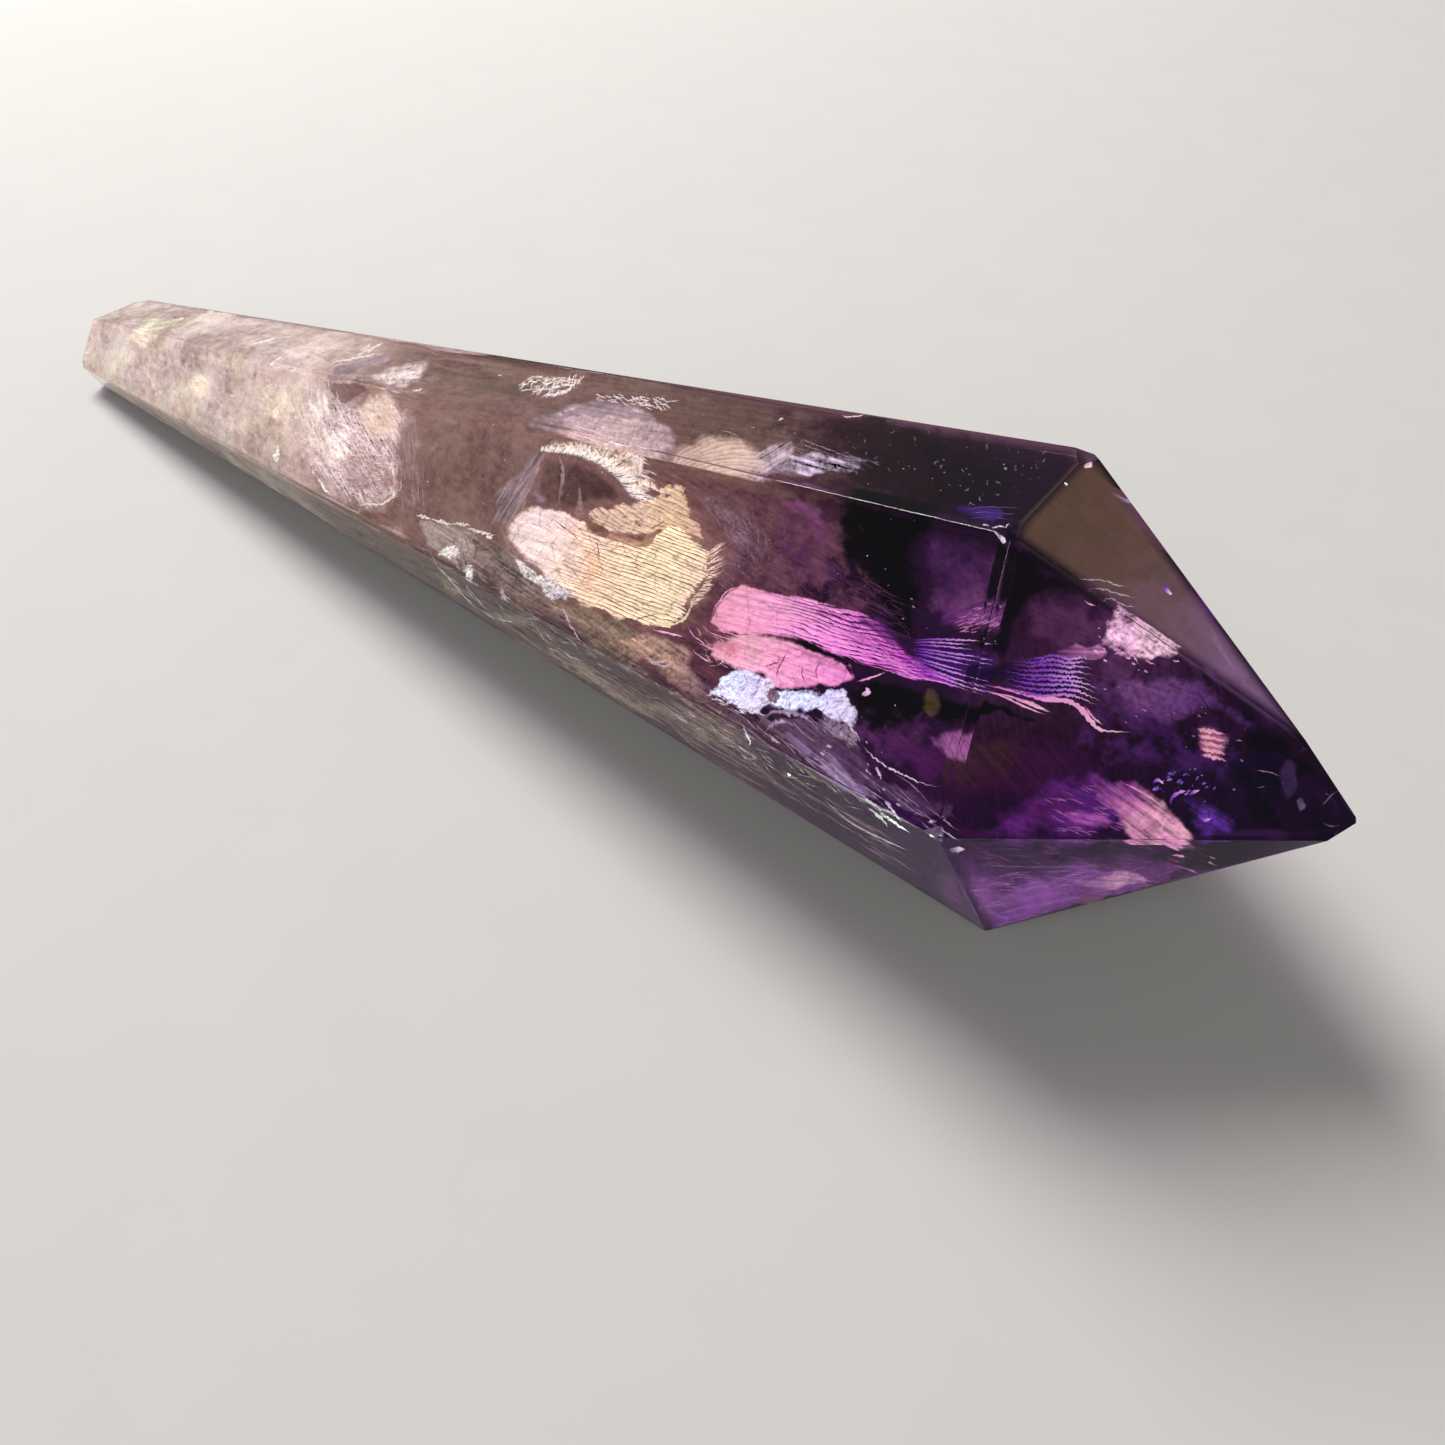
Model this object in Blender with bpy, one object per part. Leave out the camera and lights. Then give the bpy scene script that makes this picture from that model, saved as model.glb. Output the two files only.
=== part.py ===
"""A polished amethyst wand lying on its rest flat.

One natural crystal, ground to six long flats that widen from a worn butt to a girdle,
and six shorter flats beyond the girdle that meet in a point. X runs along the stone
with the point at +X, Y goes across it and Z is up. The rest flat lies on Z = 0.
"""
import bmesh
import bpy
from math import cos, radians, sin, tan
from mathutils import Vector

MM = 0.001

# Stations along the stone while it is ground. It comes out just over 150 mm long.
LENGTH = 150 * MM
BUTT_X = -75.9 * MM
GIRDLE_X = 50 * MM

# Long flats. The first number is the way a flat faces round the stone in degrees:
# 0 faces the front (-Y), 90 faces up, 180 faces the back.
# The others are how far the flat stands off the resting line (the X axis)
# at the butt and at the girdle, measured square to that line.
LONG_FLATS = {
    "top": (89.7, 7.45 * MM, 35.1 * MM),
    "upper front": (31.8, 6.4 * MM, 24.5 * MM),
    "lower front": (-27.4, 4.15 * MM, 7.8 * MM),
    "rest": (-90.0, 0.0 * MM, 0.0 * MM),
    "lower back": (-151.2, 3.2 * MM, 8.7 * MM),
    "upper back": (148.5, 7.25 * MM, 23.35 * MM),
}

# Point flats, one beyond each long flat: the way it faces, its slope to the length
# of the stone in degrees, and how far it stands off the resting line at the girdle.
POINT_FLATS = {
    "top": (93.9, 30.6, 34.5 * MM),
    "upper front": (40.9, 36.1, 28.3 * MM),
    "lower front": (-25.9, 38.0, 11.5 * MM),
    "rest": (-95.4, 38.7, 2.7 * MM),
    "lower back": (-150.5, 31.7, 10.1 * MM),
    "upper back": (142.7, 27.4, 25.2 * MM),
}

# Chips off two corners of the butt, the two top corners of the girdle and the point:
# where the corner was, the way the chip faces, and how deep it goes.
CHIPS = {
    "butt top back": (Vector((-75.9, 3.9, 7.4)) * MM, Vector((-0.5, 0.45, 0.75)), 0.75 * MM),
    "butt low front": (Vector((-75.9, -5.9, 2.5)) * MM, Vector((-0.8, -0.45, -0.4)), 0.9 * MM),
    "girdle top back": (Vector((48.85, 5.83, 34.86)) * MM, Vector((0.06, 0.18, 0.98)), 0.35 * MM),
    "girdle top front": (Vector((50.0, -7.05, 35.06)) * MM, Vector((0.0, -0.15, 0.99)), 0.27 * MM),
    "point": (Vector((75.0, 1.96, 17.6)) * MM, Vector((0.85, 0.25, 0.35)), 0.15 * MM),
}

# The rim of the butt is worn round. Every other edge is broken by a fine flat.
BUTT_WEAR = 1.2 * MM
BUTT_WEAR_STEPS = 5
EDGE_BREAK = 0.09 * MM

# A clear violet with a high polish.
AMETHYST = (0.33, 0.16, 0.42, 1.0)
ROUGHNESS = 0.06


def clear_scene():
    for obj in list(bpy.data.objects):
        bpy.data.objects.remove(obj)


def amethyst_material():
    material = bpy.data.materials.new("amethyst")
    material.use_nodes = True
    shader = material.node_tree.nodes["Principled BSDF"]
    shader.inputs["Base Color"].default_value = AMETHYST
    shader.inputs["Roughness"].default_value = ROUGHNESS
    shader.inputs["Metallic"].default_value = 0.0
    material.diffuse_color = AMETHYST
    return material


def facing(around_deg):
    """Unit direction square to X that points the given way round the stone."""
    angle = radians(around_deg)
    return Vector((0.0, -cos(angle), sin(angle)))


def grind(stone, point, outward):
    """Grind the stone flat: take off all that lies beyond the plane and close the cut."""
    geometry = stone.verts[:] + stone.edges[:] + stone.faces[:]
    cut = bmesh.ops.bisect_plane(
        stone, geom=geometry, dist=1e-7, plane_co=point, plane_no=outward, clear_outer=True)
    rim = [item for item in cut["geom_cut"] if isinstance(item, bmesh.types.BMEdge)]
    if rim:
        bmesh.ops.contextual_create(stone, geom=rim)


def grind_long_flat(stone, around_deg, at_butt, at_girdle):
    widening = (at_girdle - at_butt) / (GIRDLE_X - BUTT_X)
    side = facing(around_deg)
    outward = (side - Vector((widening, 0.0, 0.0))).normalized()
    grind(stone, Vector((BUTT_X, 0.0, 0.0)) + side * at_butt, outward)


def grind_point_flat(stone, around_deg, slope_deg, at_girdle):
    side = facing(around_deg)
    outward = (side + Vector((tan(radians(slope_deg)), 0.0, 0.0))).normalized()
    grind(stone, Vector((GIRDLE_X, 0.0, 0.0)) + side * at_girdle, outward)


def knock_chip(stone, corner, direction, depth):
    outward = direction.normalized()
    grind(stone, corner - outward * depth, outward)


def wear_butt_rim(stone):
    """Round the edges where the long flats meet the end face of the butt."""
    nearly = 0.001 * MM
    rim = [edge for edge in stone.edges
           if all(vert.co.x < BUTT_X + nearly for vert in edge.verts)]
    bmesh.ops.bevel(stone, geom=rim, offset=BUTT_WEAR, segments=BUTT_WEAR_STEPS,
                    profile=0.5, affect="EDGES", clamp_overlap=True)


def break_edges(stone):
    """Take the sharpness off the edges between the flats."""
    edges = [edge for edge in stone.edges if edge.calc_face_angle() > radians(5)
             and max(vert.co.x for vert in edge.verts) > BUTT_X + 2 * BUTT_WEAR]
    bmesh.ops.bevel(stone, geom=edges, offset=EDGE_BREAK, segments=1,
                    profile=0.5, affect="EDGES", clamp_overlap=True)


def build_stone():
    stone = bmesh.new()
    bmesh.ops.create_cube(stone, size=2 * LENGTH)
    for around, at_butt, at_girdle in LONG_FLATS.values():
        grind_long_flat(stone, around, at_butt, at_girdle)
    for around, slope, at_girdle in POINT_FLATS.values():
        grind_point_flat(stone, around, slope, at_girdle)
    grind(stone, Vector((BUTT_X, 0.0, 0.0)), Vector((-1.0, 0.0, 0.0)))
    for corner, direction, depth in CHIPS.values():
        knock_chip(stone, corner, direction, depth)
    bmesh.ops.remove_doubles(stone, verts=stone.verts[:], dist=0.01 * MM)
    wear_butt_rim(stone)
    break_edges(stone)
    bmesh.ops.remove_doubles(stone, verts=stone.verts[:], dist=0.015 * MM)
    bmesh.ops.recalc_face_normals(stone, faces=stone.faces[:])
    centre_on_origin(stone)
    return stone


def centre_on_origin(stone):
    """Bring the middle of the stone, seen from above, over the origin."""
    middle = Vector((0.0, 0.0, 0.0))
    for axis in (0, 1):
        places = [vert.co[axis] for vert in stone.verts]
        middle[axis] = (min(places) + max(places)) / 2
    bmesh.ops.translate(stone, verts=stone.verts[:], vec=-middle)


def main():
    clear_scene()
    stone = build_stone()
    mesh = bpy.data.meshes.new("amethyst_wand")
    stone.to_mesh(mesh)
    stone.free()
    mesh.materials.append(amethyst_material())
    wand = bpy.data.objects.new("amethyst_wand", mesh)
    bpy.context.scene.collection.objects.link(wand)


main()
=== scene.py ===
# %% [markdown]
# # A polished amethyst wand
#
# The real object is one natural crystal, ground to twelve flats and polished. It is milky and
# pinkish at the worn butt, clear and brownish in the middle, and a deep violet at the point.
# Inside it hang old healed cracks, which show as cream, pink and violet veils.
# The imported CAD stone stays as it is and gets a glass-like finish.
# Everything that hangs inside it is modelled here, as thin sheets of mesh.

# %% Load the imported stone
import math
import random

import bpy
import numpy as np
from mathutils import Matrix, Vector, geometry, noise


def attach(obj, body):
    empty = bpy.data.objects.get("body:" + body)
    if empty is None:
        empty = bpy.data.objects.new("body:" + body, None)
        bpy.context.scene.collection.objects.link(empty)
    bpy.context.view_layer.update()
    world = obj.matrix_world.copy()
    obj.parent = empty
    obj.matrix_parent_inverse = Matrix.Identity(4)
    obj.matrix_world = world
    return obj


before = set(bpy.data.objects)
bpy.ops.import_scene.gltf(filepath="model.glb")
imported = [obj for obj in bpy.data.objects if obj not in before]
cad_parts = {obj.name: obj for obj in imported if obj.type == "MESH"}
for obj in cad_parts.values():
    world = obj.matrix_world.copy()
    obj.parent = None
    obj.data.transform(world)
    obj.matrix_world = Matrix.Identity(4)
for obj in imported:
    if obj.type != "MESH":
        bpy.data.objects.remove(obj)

MM = 0.001
STONE = "amethyst_wand"
BODY = "root"
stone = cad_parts[STONE]
scene = bpy.context.scene
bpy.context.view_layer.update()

# %% [markdown]
# ## The camera
#
# The camera was worked out from the corners of the stone in the photograph.
# It looks down on the point from close by, so the butt looks much narrower than it is.

# %% Camera
CAMERA_PLACE = Vector((85.11, -79.45, 89.75)) * MM
CAMERA_TURN = math.radians(39.089)
CAMERA_DOWN = math.radians(42.51)
CAMERA_ROLL = math.radians(0.491)
PHOTO_SIDE = 1445
FOCAL_PIXELS = 1450
SENSOR_WIDTH = 36

camera_pose = (Matrix.Translation(CAMERA_PLACE)
               @ Matrix.Rotation(CAMERA_TURN, 4, "Z")
               @ Matrix.Rotation(math.pi / 2 - CAMERA_DOWN, 4, "X")
               @ Matrix.Rotation(CAMERA_ROLL, 4, "Z"))
camera_lens = bpy.data.cameras.new("camera")
camera_lens.sensor_width = SENSOR_WIDTH
camera_lens.lens = SENSOR_WIDTH * FOCAL_PIXELS / PHOTO_SIDE
camera_lens.clip_start = 1 * MM
camera = bpy.data.objects.new("camera", camera_lens)
camera.matrix_world = camera_pose
scene.collection.objects.link(camera)
scene.camera = camera
print("lens in mm:", round(camera_lens.lens, 2))

# %% [markdown]
# ## Shader maths in Python
#
# A finish is a tree of nodes. Written out node by node it is long and hard to read.
# This class wraps a socket, so that plus, minus and times on it add the Math nodes,
# and one method adds any other kind of node. A colour seen through the quartz is tinted by it,
# so tone gives the colour that comes out right.


# %% The Wire class
QUARTZ_UNDO = (0.85, 1.0, 0.86)
SCREEN_GAMMA = 2.2


class Wire:
    """A socket of a material's nodes. Python's operators on it add the nodes for the sum."""

    def __init__(self, tree, socket=None):
        self.tree, self.socket = tree, socket

    def node(self, kind, settings=None, output=0, **sockets):
        """Add a node: its settings first, then the values or links of its sockets."""
        new = self.tree.nodes.new("ShaderNode" + kind)
        for name, value in (settings or {}).items():
            if name == "stops":
                while len(new.color_ramp.elements) < len(value):
                    new.color_ramp.elements.new(0.5)
                for element, (position, colour) in zip(new.color_ramp.elements, value):
                    element.position, element.color = position, (*colour, 1)
            else:
                setattr(new, name, value)
        for name, value in sockets.items():
            place = int(name[1:]) if name[1:].isdigit() else name.replace("_", " ")
            feed(self.tree, new.inputs[place], value)
        return Wire(self.tree, new.outputs[output])

    def maths(self, operation, first, second=0.0):
        vectors = any(isinstance(term, Wire) and term.socket.type == "VECTOR" for term in (first, second))
        kind = "VectorMath" if vectors else "Math"
        if vectors:
            first, second = [(term,) * 3 if isinstance(term, (int, float)) else term
                             for term in (first, second)]
        return self.node(kind, {"operation": operation}, i0=first, i1=second)

    def __add__(self, other): return self.maths("ADD", self, other)
    def __radd__(self, other): return self.maths("ADD", other, self)
    def __sub__(self, other): return self.maths("SUBTRACT", self, other)
    def __rsub__(self, other): return self.maths("SUBTRACT", other, self)
    def __mul__(self, other): return self.maths("MULTIPLY", self, other)
    def __rmul__(self, other): return self.maths("MULTIPLY", other, self)
    def __truediv__(self, other): return self.maths("DIVIDE", self, other)
    def __rtruediv__(self, other): return self.maths("DIVIDE", other, self)
    def __pow__(self, other): return self.maths("POWER", self, other)
    def __abs__(self): return self.maths("ABSOLUTE", self)
    def fraction(self): return self.maths("FRACT", self)

    def between(self, low, high):
        """0 up to low, 1 from high on, and smooth between the two."""
        return self.node("MapRange", {"interpolation_type": "SMOOTHSTEP"},
                         Value=self, From_Min=low, From_Max=high)

    def mixed(self, start, end):
        """The colour start where this value is 0, and end where it is 1."""
        return self.node("Mix", {"data_type": "RGBA"}, output=2, i0=self, i6=start, i7=end)

    def ramp(self, stops):
        return self.node("ValToRGB", {"stops": stops}, Fac=self)


def feed(tree, socket, value):
    """Link a wire to a socket, or write a plain value on it."""
    if isinstance(value, Wire):
        tree.links.new(value.socket, socket)
    elif socket.type == "RGBA" and len(value) == 3:
        socket.default_value = (*value, 1)
    else:
        socket.default_value = value


def new_finish(name):
    """A new material: a wire into its nodes, and its main shader."""
    material = bpy.data.materials.new(name)
    material.use_nodes = True
    tree = material.node_tree
    return material, Wire(tree), tree.nodes["Principled BSDF"]


def tone(red, green, blue):
    """The colour that looks like this one, 0 to 255 on a screen, when it is seen through the quartz."""
    return tuple((part / 255) ** SCREEN_GAMMA * undo for part, undo in zip((red, green, blue), QUARTZ_UNDO))


def toned(wash):
    """The stops of a colour ramp, from places and screen colours."""
    return [(place, tone(*colour)) for place, colour in wash]


def clouds(wire, where, size, detail=4.0, roughness=0.55):
    """Soft noise from 0 to 1, with lumps of about the given size in millimetres."""
    return wire.node("TexNoise", Vector=where, Scale=1 / size, Detail=detail, Roughness=roughness)


print("shader maths ready")

# %% [markdown]
# ## Floor and light
#
# The stone lies on a plain pale floor. A large soft lamp high at the back left makes the
# shadow fall to the front right, and a weaker one from the front lifts the near flats.
# Colours are shown as they are, with no film look on top.

# %% Floor and light
FLOOR_SIDE = 4.0
FLOOR_GAP = 0.2 * MM
FLOOR_COLOUR = (0.56, 0.54, 0.51)
FLOOR_SPECKLE = 1.05
FLOOR_ROUGHNESS = 0.85
SKY_COLOUR = (0.92, 0.96, 1.0)
SKY_STRENGTH = 0.12
# Each lamp: the way to it, its distance and its side in metres, and its power in watts.
LAMPS = {
    "key lamp": (Vector((-0.89, 0.31, 1.0)), 0.9, 0.45, 11.0),
    "front lamp": (Vector((0.6, -0.9, 0.9)), 1.2, 0.8, 5.0),
}


def make_floor():
    bpy.ops.mesh.primitive_grid_add(x_subdivisions=8, y_subdivisions=8, size=FLOOR_SIDE,
                                    location=(0, 0, -FLOOR_GAP))
    floor = bpy.context.object
    floor.name = "floor"
    material, wire, shader = new_finish("pale floor")
    where = wire.node("TexCoord", output=3)
    grain = clouds(wire, where, 0.01, detail=2.0)
    feed(wire.tree, shader.inputs["Base Color"],
         grain.mixed(FLOOR_COLOUR, [channel * FLOOR_SPECKLE for channel in FLOOR_COLOUR]))
    shader.inputs["Roughness"].default_value = FLOOR_ROUGHNESS
    floor.data.materials.append(material)
    return floor


def make_lamp(name, towards, distance, side, power):
    lamp_data = bpy.data.lights.new(name, "AREA")
    lamp_data.energy, lamp_data.size = power, side
    lamp = bpy.data.objects.new(name, lamp_data)
    towards = towards.normalized()
    lamp.location = towards * distance
    lamp.rotation_euler = (-towards).to_track_quat("-Z", "Y").to_euler()
    scene.collection.objects.link(lamp)


def make_sky():
    sky = bpy.data.worlds.new("studio")
    sky.use_nodes = True
    backdrop = sky.node_tree.nodes["Background"]
    backdrop.inputs["Color"].default_value = (*SKY_COLOUR, 1)
    backdrop.inputs["Strength"].default_value = SKY_STRENGTH
    scene.world = sky


make_floor()
make_sky()
for lamp_name, lamp_values in LAMPS.items():
    make_lamp(lamp_name, *lamp_values)
scene.view_settings.view_transform = "Standard"
scene.cycles.max_bounces = 12
scene.cycles.diffuse_bounces = 2
scene.cycles.glossy_bounces = 4
scene.cycles.transmission_bounces = 12
scene.cycles.transparent_max_bounces = 24
scene.cycles.caustics_reflective = False
scene.cycles.caustics_refractive = False
print("lamps:", ", ".join(LAMPS))

# %% [markdown]
# ## Looking into the stone
#
# A veil inside the stone isn't where it seems to be, because its light bends at the polished
# flat on its way out. To hang a sheet where the photograph shows it, a line of sight is
# followed from the camera to the flat, bent there as quartz bends light, and followed on to
# the depth wanted, but never out of the stone. Each flat is a window, found by a pixel inside
# it, and its border is where its corners appear. For the hidden sides the same eye looks from
# the back or from below, as in a mirror that stands or lies along the stone.

# %% Windows and sight lines
QUARTZ_IOR = 1.544
# A sheet goes down at most this share of the way through the stone.
DEEPEST = 0.72
SKIN_STEP = 0.02 * MM
SAME_WAY = 0.99999
TOP, FRONT, LOW_FRONT = "top", "upper front", "lower front"
TOP_POINT, POINT, LOW_POINT = "top point", "upper front point", "lower front point"
WINDOW_PIXELS = {
    TOP: (600, 410),
    FRONT: (600, 560),
    LOW_FRONT: (600, 668),
    TOP_POINT: (1150, 580),
    POINT: (1100, 720),
    LOW_POINT: (1050, 895),
    "upper back": (600, 560),
    "lower back": (600, 662),
    "upper back point": (1100, 720),
    "lower back point": (1050, 885),
    "rest": (564, 604),
    "rest point": (1075, 945),
}
eye = np.array(CAMERA_PLACE)
camera_axes = np.array(camera_pose.to_3x3())


def side_of(window):
    """What turns the camera's side into the side from which a window is seen."""
    return np.array((1, -1 if "back" in window else 1, -1 if "rest" in window else 1))


def sight_lines(pixels):
    """Directions from the camera through pixels of the photograph."""
    pixels = np.asarray(pixels, float).reshape(-1, 2)
    across = pixels[:, 0] - PHOTO_SIDE / 2
    down = pixels[:, 1] - PHOTO_SIDE / 2
    rays = np.stack([across, -down, np.full(len(pixels), -float(FOCAL_PIXELS))], 1) @ camera_axes.T
    return rays / np.linalg.norm(rays, axis=1)[:, None]


def seen_at(points):
    """The pixels at which the camera sees these points."""
    seen = (np.asarray(points) - eye) @ camera_axes
    return seen[:, :2] / -seen[:, 2:] * FOCAL_PIXELS * (1, -1) + PHOTO_SIDE / 2


def find_window(name, pixel):
    """A point on the flat seen at a pixel, the way the flat faces, and its border in pixels."""
    side = side_of(name)
    hit, place, facing, face = stone.ray_cast(Vector(eye * side), Vector(sight_lines(pixel)[0] * side))
    corners = [vertex.co for polygon in stone.data.polygons if polygon.normal.dot(facing) > SAME_WAY
               for vertex in (stone.data.vertices[i] for i in polygon.vertices)]
    border = seen_at(np.array(corners) * side)
    hull = geometry.convex_hull_2d([Vector(pixel) for pixel in border])
    return np.array(place), np.array(facing), border[hull]


def room_inside(place, way, facing):
    """How far a line runs inside the stone from a place on its skin."""
    hit, end, _, _ = stone.ray_cast(Vector(place - facing * SKIN_STEP), Vector(way))
    return (end - Vector(place)).length if hit else 0.0


def inside(pixels, window, depths):
    """Points at these depths under a flat that is seen at these pixels."""
    place, facing, _ = windows[window]
    start = eye * side_of(window)
    rays = sight_lines(pixels) * side_of(window)
    slant = rays @ facing
    entry = start + rays * (((place - start) @ facing) / slant)[:, None]
    ratio = 1 / QUARTZ_IOR
    bent = rays * ratio + np.outer(-ratio * slant - np.sqrt(1 - ratio ** 2 * (1 - slant ** 2)), facing)
    room = np.array([room_inside(point, way, facing) for point, way in zip(entry, bent)])
    return entry + bent * np.minimum(-depths / (bent @ facing), room * DEEPEST)[:, None]


def clipped(outline, border):
    """The part of a closed outline that lies within a convex border."""
    ends = np.roll(border, -1, axis=0)
    turn = np.sign(np.sum(border[:, 0] * ends[:, 1] - border[:, 1] * ends[:, 0]))
    for start, end in zip(border, ends):
        step, kept = end - start, []
        off = outline - start
        side = (step[0] * off[:, 1] - step[1] * off[:, 0]) * turn
        for i in range(len(outline)):
            if (side[i - 1] < 0) != (side[i] < 0):
                share = side[i - 1] / (side[i - 1] - side[i])
                kept.append(outline[i - 1] + (outline[i] - outline[i - 1]) * share)
            if side[i] >= 0:
                kept.append(outline[i])
        outline = np.array(kept).reshape(-1, 2)
    return outline


bpy.context.view_layer.update()
windows = {name: find_window(name, pixel) for name, pixel in WINDOW_PIXELS.items()}
for window_name, (_, window_facing, window_border) in windows.items():
    print(f"{window_name}: faces", window_facing.round(3), "with", len(window_border), "corners")

# %% [markdown]
# ## The quartz itself
#
# The body is clear glass with the bending power of quartz and a violet absorption, which
# darkens what is seen through more stone. The surface tint changes along the stone:
# almost none at the milky butt, a brownish mauve in the middle, violet towards the point,
# in angular patches as in real colour zones. Hair scratches from polishing roughen it.
# Lamps are let through with a plain tint, or nothing inside would be lit.

# %% Quartz finish
ABSORPTION_COLOUR = (0.50, 0.24, 0.34)
ABSORPTION_DENSITY = 80
LAMP_TINT = (0.64, 0.52, 0.66)
TINT_ALONG = [
    (0.0, (0.93, 0.86, 0.84)),
    (0.38, (0.80, 0.66, 0.64)),
    (0.62, (0.72, 0.50, 0.60)),
    (0.80, (0.62, 0.36, 0.66)),
    (1.0, (0.50, 0.24, 0.62)),
]
STONE_START = -75.4
STONE_LENGTH = 150.8
TINT_PATCH = 14
TINT_SHIFT = 0.13
SCRATCH_STRETCH = (0.15, 4.0, 4.0)
SCRATCH_DEPTH = 0.02 * MM
POLISH = 0.01


def quartz_finish():
    material, wire, shader = new_finish("quartz")
    where = wire.node("TexCoord", output=3) * (1 / MM)
    along = wire.node("SeparateXYZ", Vector=where)
    patches = wire.node("TexVoronoi", {"feature": "F1"}, Vector=where, Scale=1 / TINT_PATCH)
    drift = clouds(wire, where, 18, detail=3.0) * 0.16 + patches * 0.10
    tint = ((along - STONE_START) / STONE_LENGTH + drift - TINT_SHIFT).ramp(TINT_ALONG)
    scratch_field = wire.node("TexNoise", Vector=where * SCRATCH_STRETCH, Scale=1.6, Detail=6.0)
    scratches = scratch_field.between(0.62, 0.72)
    wear = clouds(wire, where, 2.5).between(0.55, 0.85)
    feed(wire.tree, shader.inputs["Base Color"], tint)
    feed(wire.tree, shader.inputs["Roughness"], scratches * 0.05 + wear * 0.03 + POLISH)
    feed(wire.tree, shader.inputs["Normal"],
         wire.node("Bump", Height=scratches, Strength=0.04, Distance=SCRATCH_DEPTH))
    shader.inputs["IOR"].default_value = QUARTZ_IOR
    shader.inputs["Transmission Weight"].default_value = 1.0
    let_lamps_through(wire, shader, LAMP_TINT)
    absorption = wire.node("VolumeAbsorption", Color=ABSORPTION_COLOUR, Density=ABSORPTION_DENSITY)
    output = wire.tree.nodes["Material Output"]
    wire.tree.links.new(absorption.socket, output.inputs["Volume"])
    return material


def let_lamps_through(wire, shader, tint):
    """Shadow rays meet a plain tinted see-through surface instead of the glass."""
    shadow_ray = wire.node("LightPath", output=1)
    open_way = wire.node("BsdfTransparent", Color=tint)
    both = wire.node("MixShader", Fac=shadow_ray, i1=Wire(wire.tree, shader.outputs[0]), i2=open_way)
    wire.tree.links.new(both.socket, wire.tree.nodes["Material Output"].inputs["Surface"])


stone.material_slots[0].material = quartz_finish()
print("stone slots:", [slot.material.name for slot in stone.material_slots])

# %% [markdown]
# ## Sheets with torn edges
#
# A healed crack is a thin sheet with a ragged edge and a rippled face. Its outline is given
# by a few pixels, written as a text of pairs such as "502,531 508,517". Each side of it is
# halved again and again, and each middle is moved a little, which tears the edge at every
# scale. The inside is filled with a triangle mesh and every point is then hung at its own
# depth, with ripples.


# %% Sheet builder
RIPPLE_SIZE = 4.0
JITTER = 0.3
THINNEST_COVER = 0.15
SHADOW_MAKERS = ("ground", "milk", "violet_core")


def pixels_of(outline):
    """An outline as an array of pixels, from a text of pairs or from a list."""
    if isinstance(outline, str):
        outline = [pair.split(",") for pair in outline.split()]
    return np.array(outline, float)


def lines_of(lines):
    """Several lines of pixels, from a text with a bar between two lines or from a list."""
    return [pixels_of(line) for line in (lines.split("|") if isinstance(lines, str) else lines)]


def torn(outline, tearing, finest, chance):
    """The closed outline with its sides broken up until they are shorter than finest."""
    points = [Vector(point) for point in outline]
    while max((a - b).length for a, b in zip(points, points[1:] + points[:1])) > finest:
        finer = []
        for start, end in zip(points, points[1:] + points[:1]):
            finer.append(start)
            step = end - start
            if step.length > finest:
                sideways = Vector((-step.y, step.x)) * chance.uniform(-tearing, tearing)
                finer.append((start + end) / 2 + sideways)
        points = finer
    return np.array([tuple(point) for point in points])


def in_outline(points, outline):
    """True for each point that lies inside the closed outline."""
    inside_it = np.zeros(len(points), bool)
    ends = np.roll(outline, -1, axis=0)
    for (x0, y0), (x1, y1) in zip(outline, ends):
        if y0 == y1:
            continue
        crosses = (points[:, 1] < y0) != (points[:, 1] < y1)
        inside_it ^= crosses & (points[:, 0] < x0 + (points[:, 1] - y0) * (x1 - x0) / (y1 - y0))
    return inside_it


def rim_distance(points, outline):
    """How far each point is from the nearest side of the outline."""
    nearest = np.full(len(points), np.inf)
    for start, end in zip(outline, np.roll(outline, -1, axis=0)):
        step = end - start
        share = ((points - start) @ step / max(step @ step, 1e-9)).clip(0, 1)
        nearest = np.minimum(nearest, np.linalg.norm(points - start - share[:, None] * step, axis=1))
    return nearest


def filled(outline, spacing, chance):
    """Points and triangles that fill the outline, with a jittered grid inside."""
    low, high = outline.min(0), outline.max(0)
    across, down = np.meshgrid(np.arange(low[0], high[0], spacing), np.arange(low[1], high[1], spacing))
    grid = np.stack([across.ravel(), down.ravel()], 1)
    grid += np.array([[chance.uniform(-JITTER, JITTER) for _ in range(2)] for _ in grid]) * spacing
    grid = grid[in_outline(grid, outline)]
    grid = grid[rim_distance(grid, outline) > spacing * 0.5]
    corners = [Vector(point) for point in np.concatenate([outline, grid])]
    rim = list(range(len(outline)))
    points, _, faces, *_ = geometry.delaunay_2d_cdt(corners, [], [rim], 1, 1e-4)
    return np.array([tuple(point) for point in points]), [list(face) for face in faces]


def hang(name, points, faces, finish, **fields):
    """Make a mesh piece of the finished points, with named values on them, inside the stone."""
    mesh = bpy.data.meshes.new(name)
    mesh.from_pydata([tuple(point) for point in points], [], faces)
    mesh.polygons.foreach_set("use_smooth", [True] * len(mesh.polygons))
    for field, values in fields.items():
        values = np.asarray(values, np.float32)
        kind = "FLOAT_VECTOR" if values.ndim == 2 else "FLOAT"
        attribute = mesh.attributes.new(field, kind, "POINT")
        attribute.data.foreach_set("vector" if values.ndim == 2 else "value", values.ravel())
    mesh.materials.append(finish)
    piece = bpy.data.objects.new(name, mesh)
    scene.collection.objects.link(piece)
    piece.visible_shadow = name.startswith(SHADOW_MAKERS)
    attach(piece, BODY)
    return piece


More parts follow.
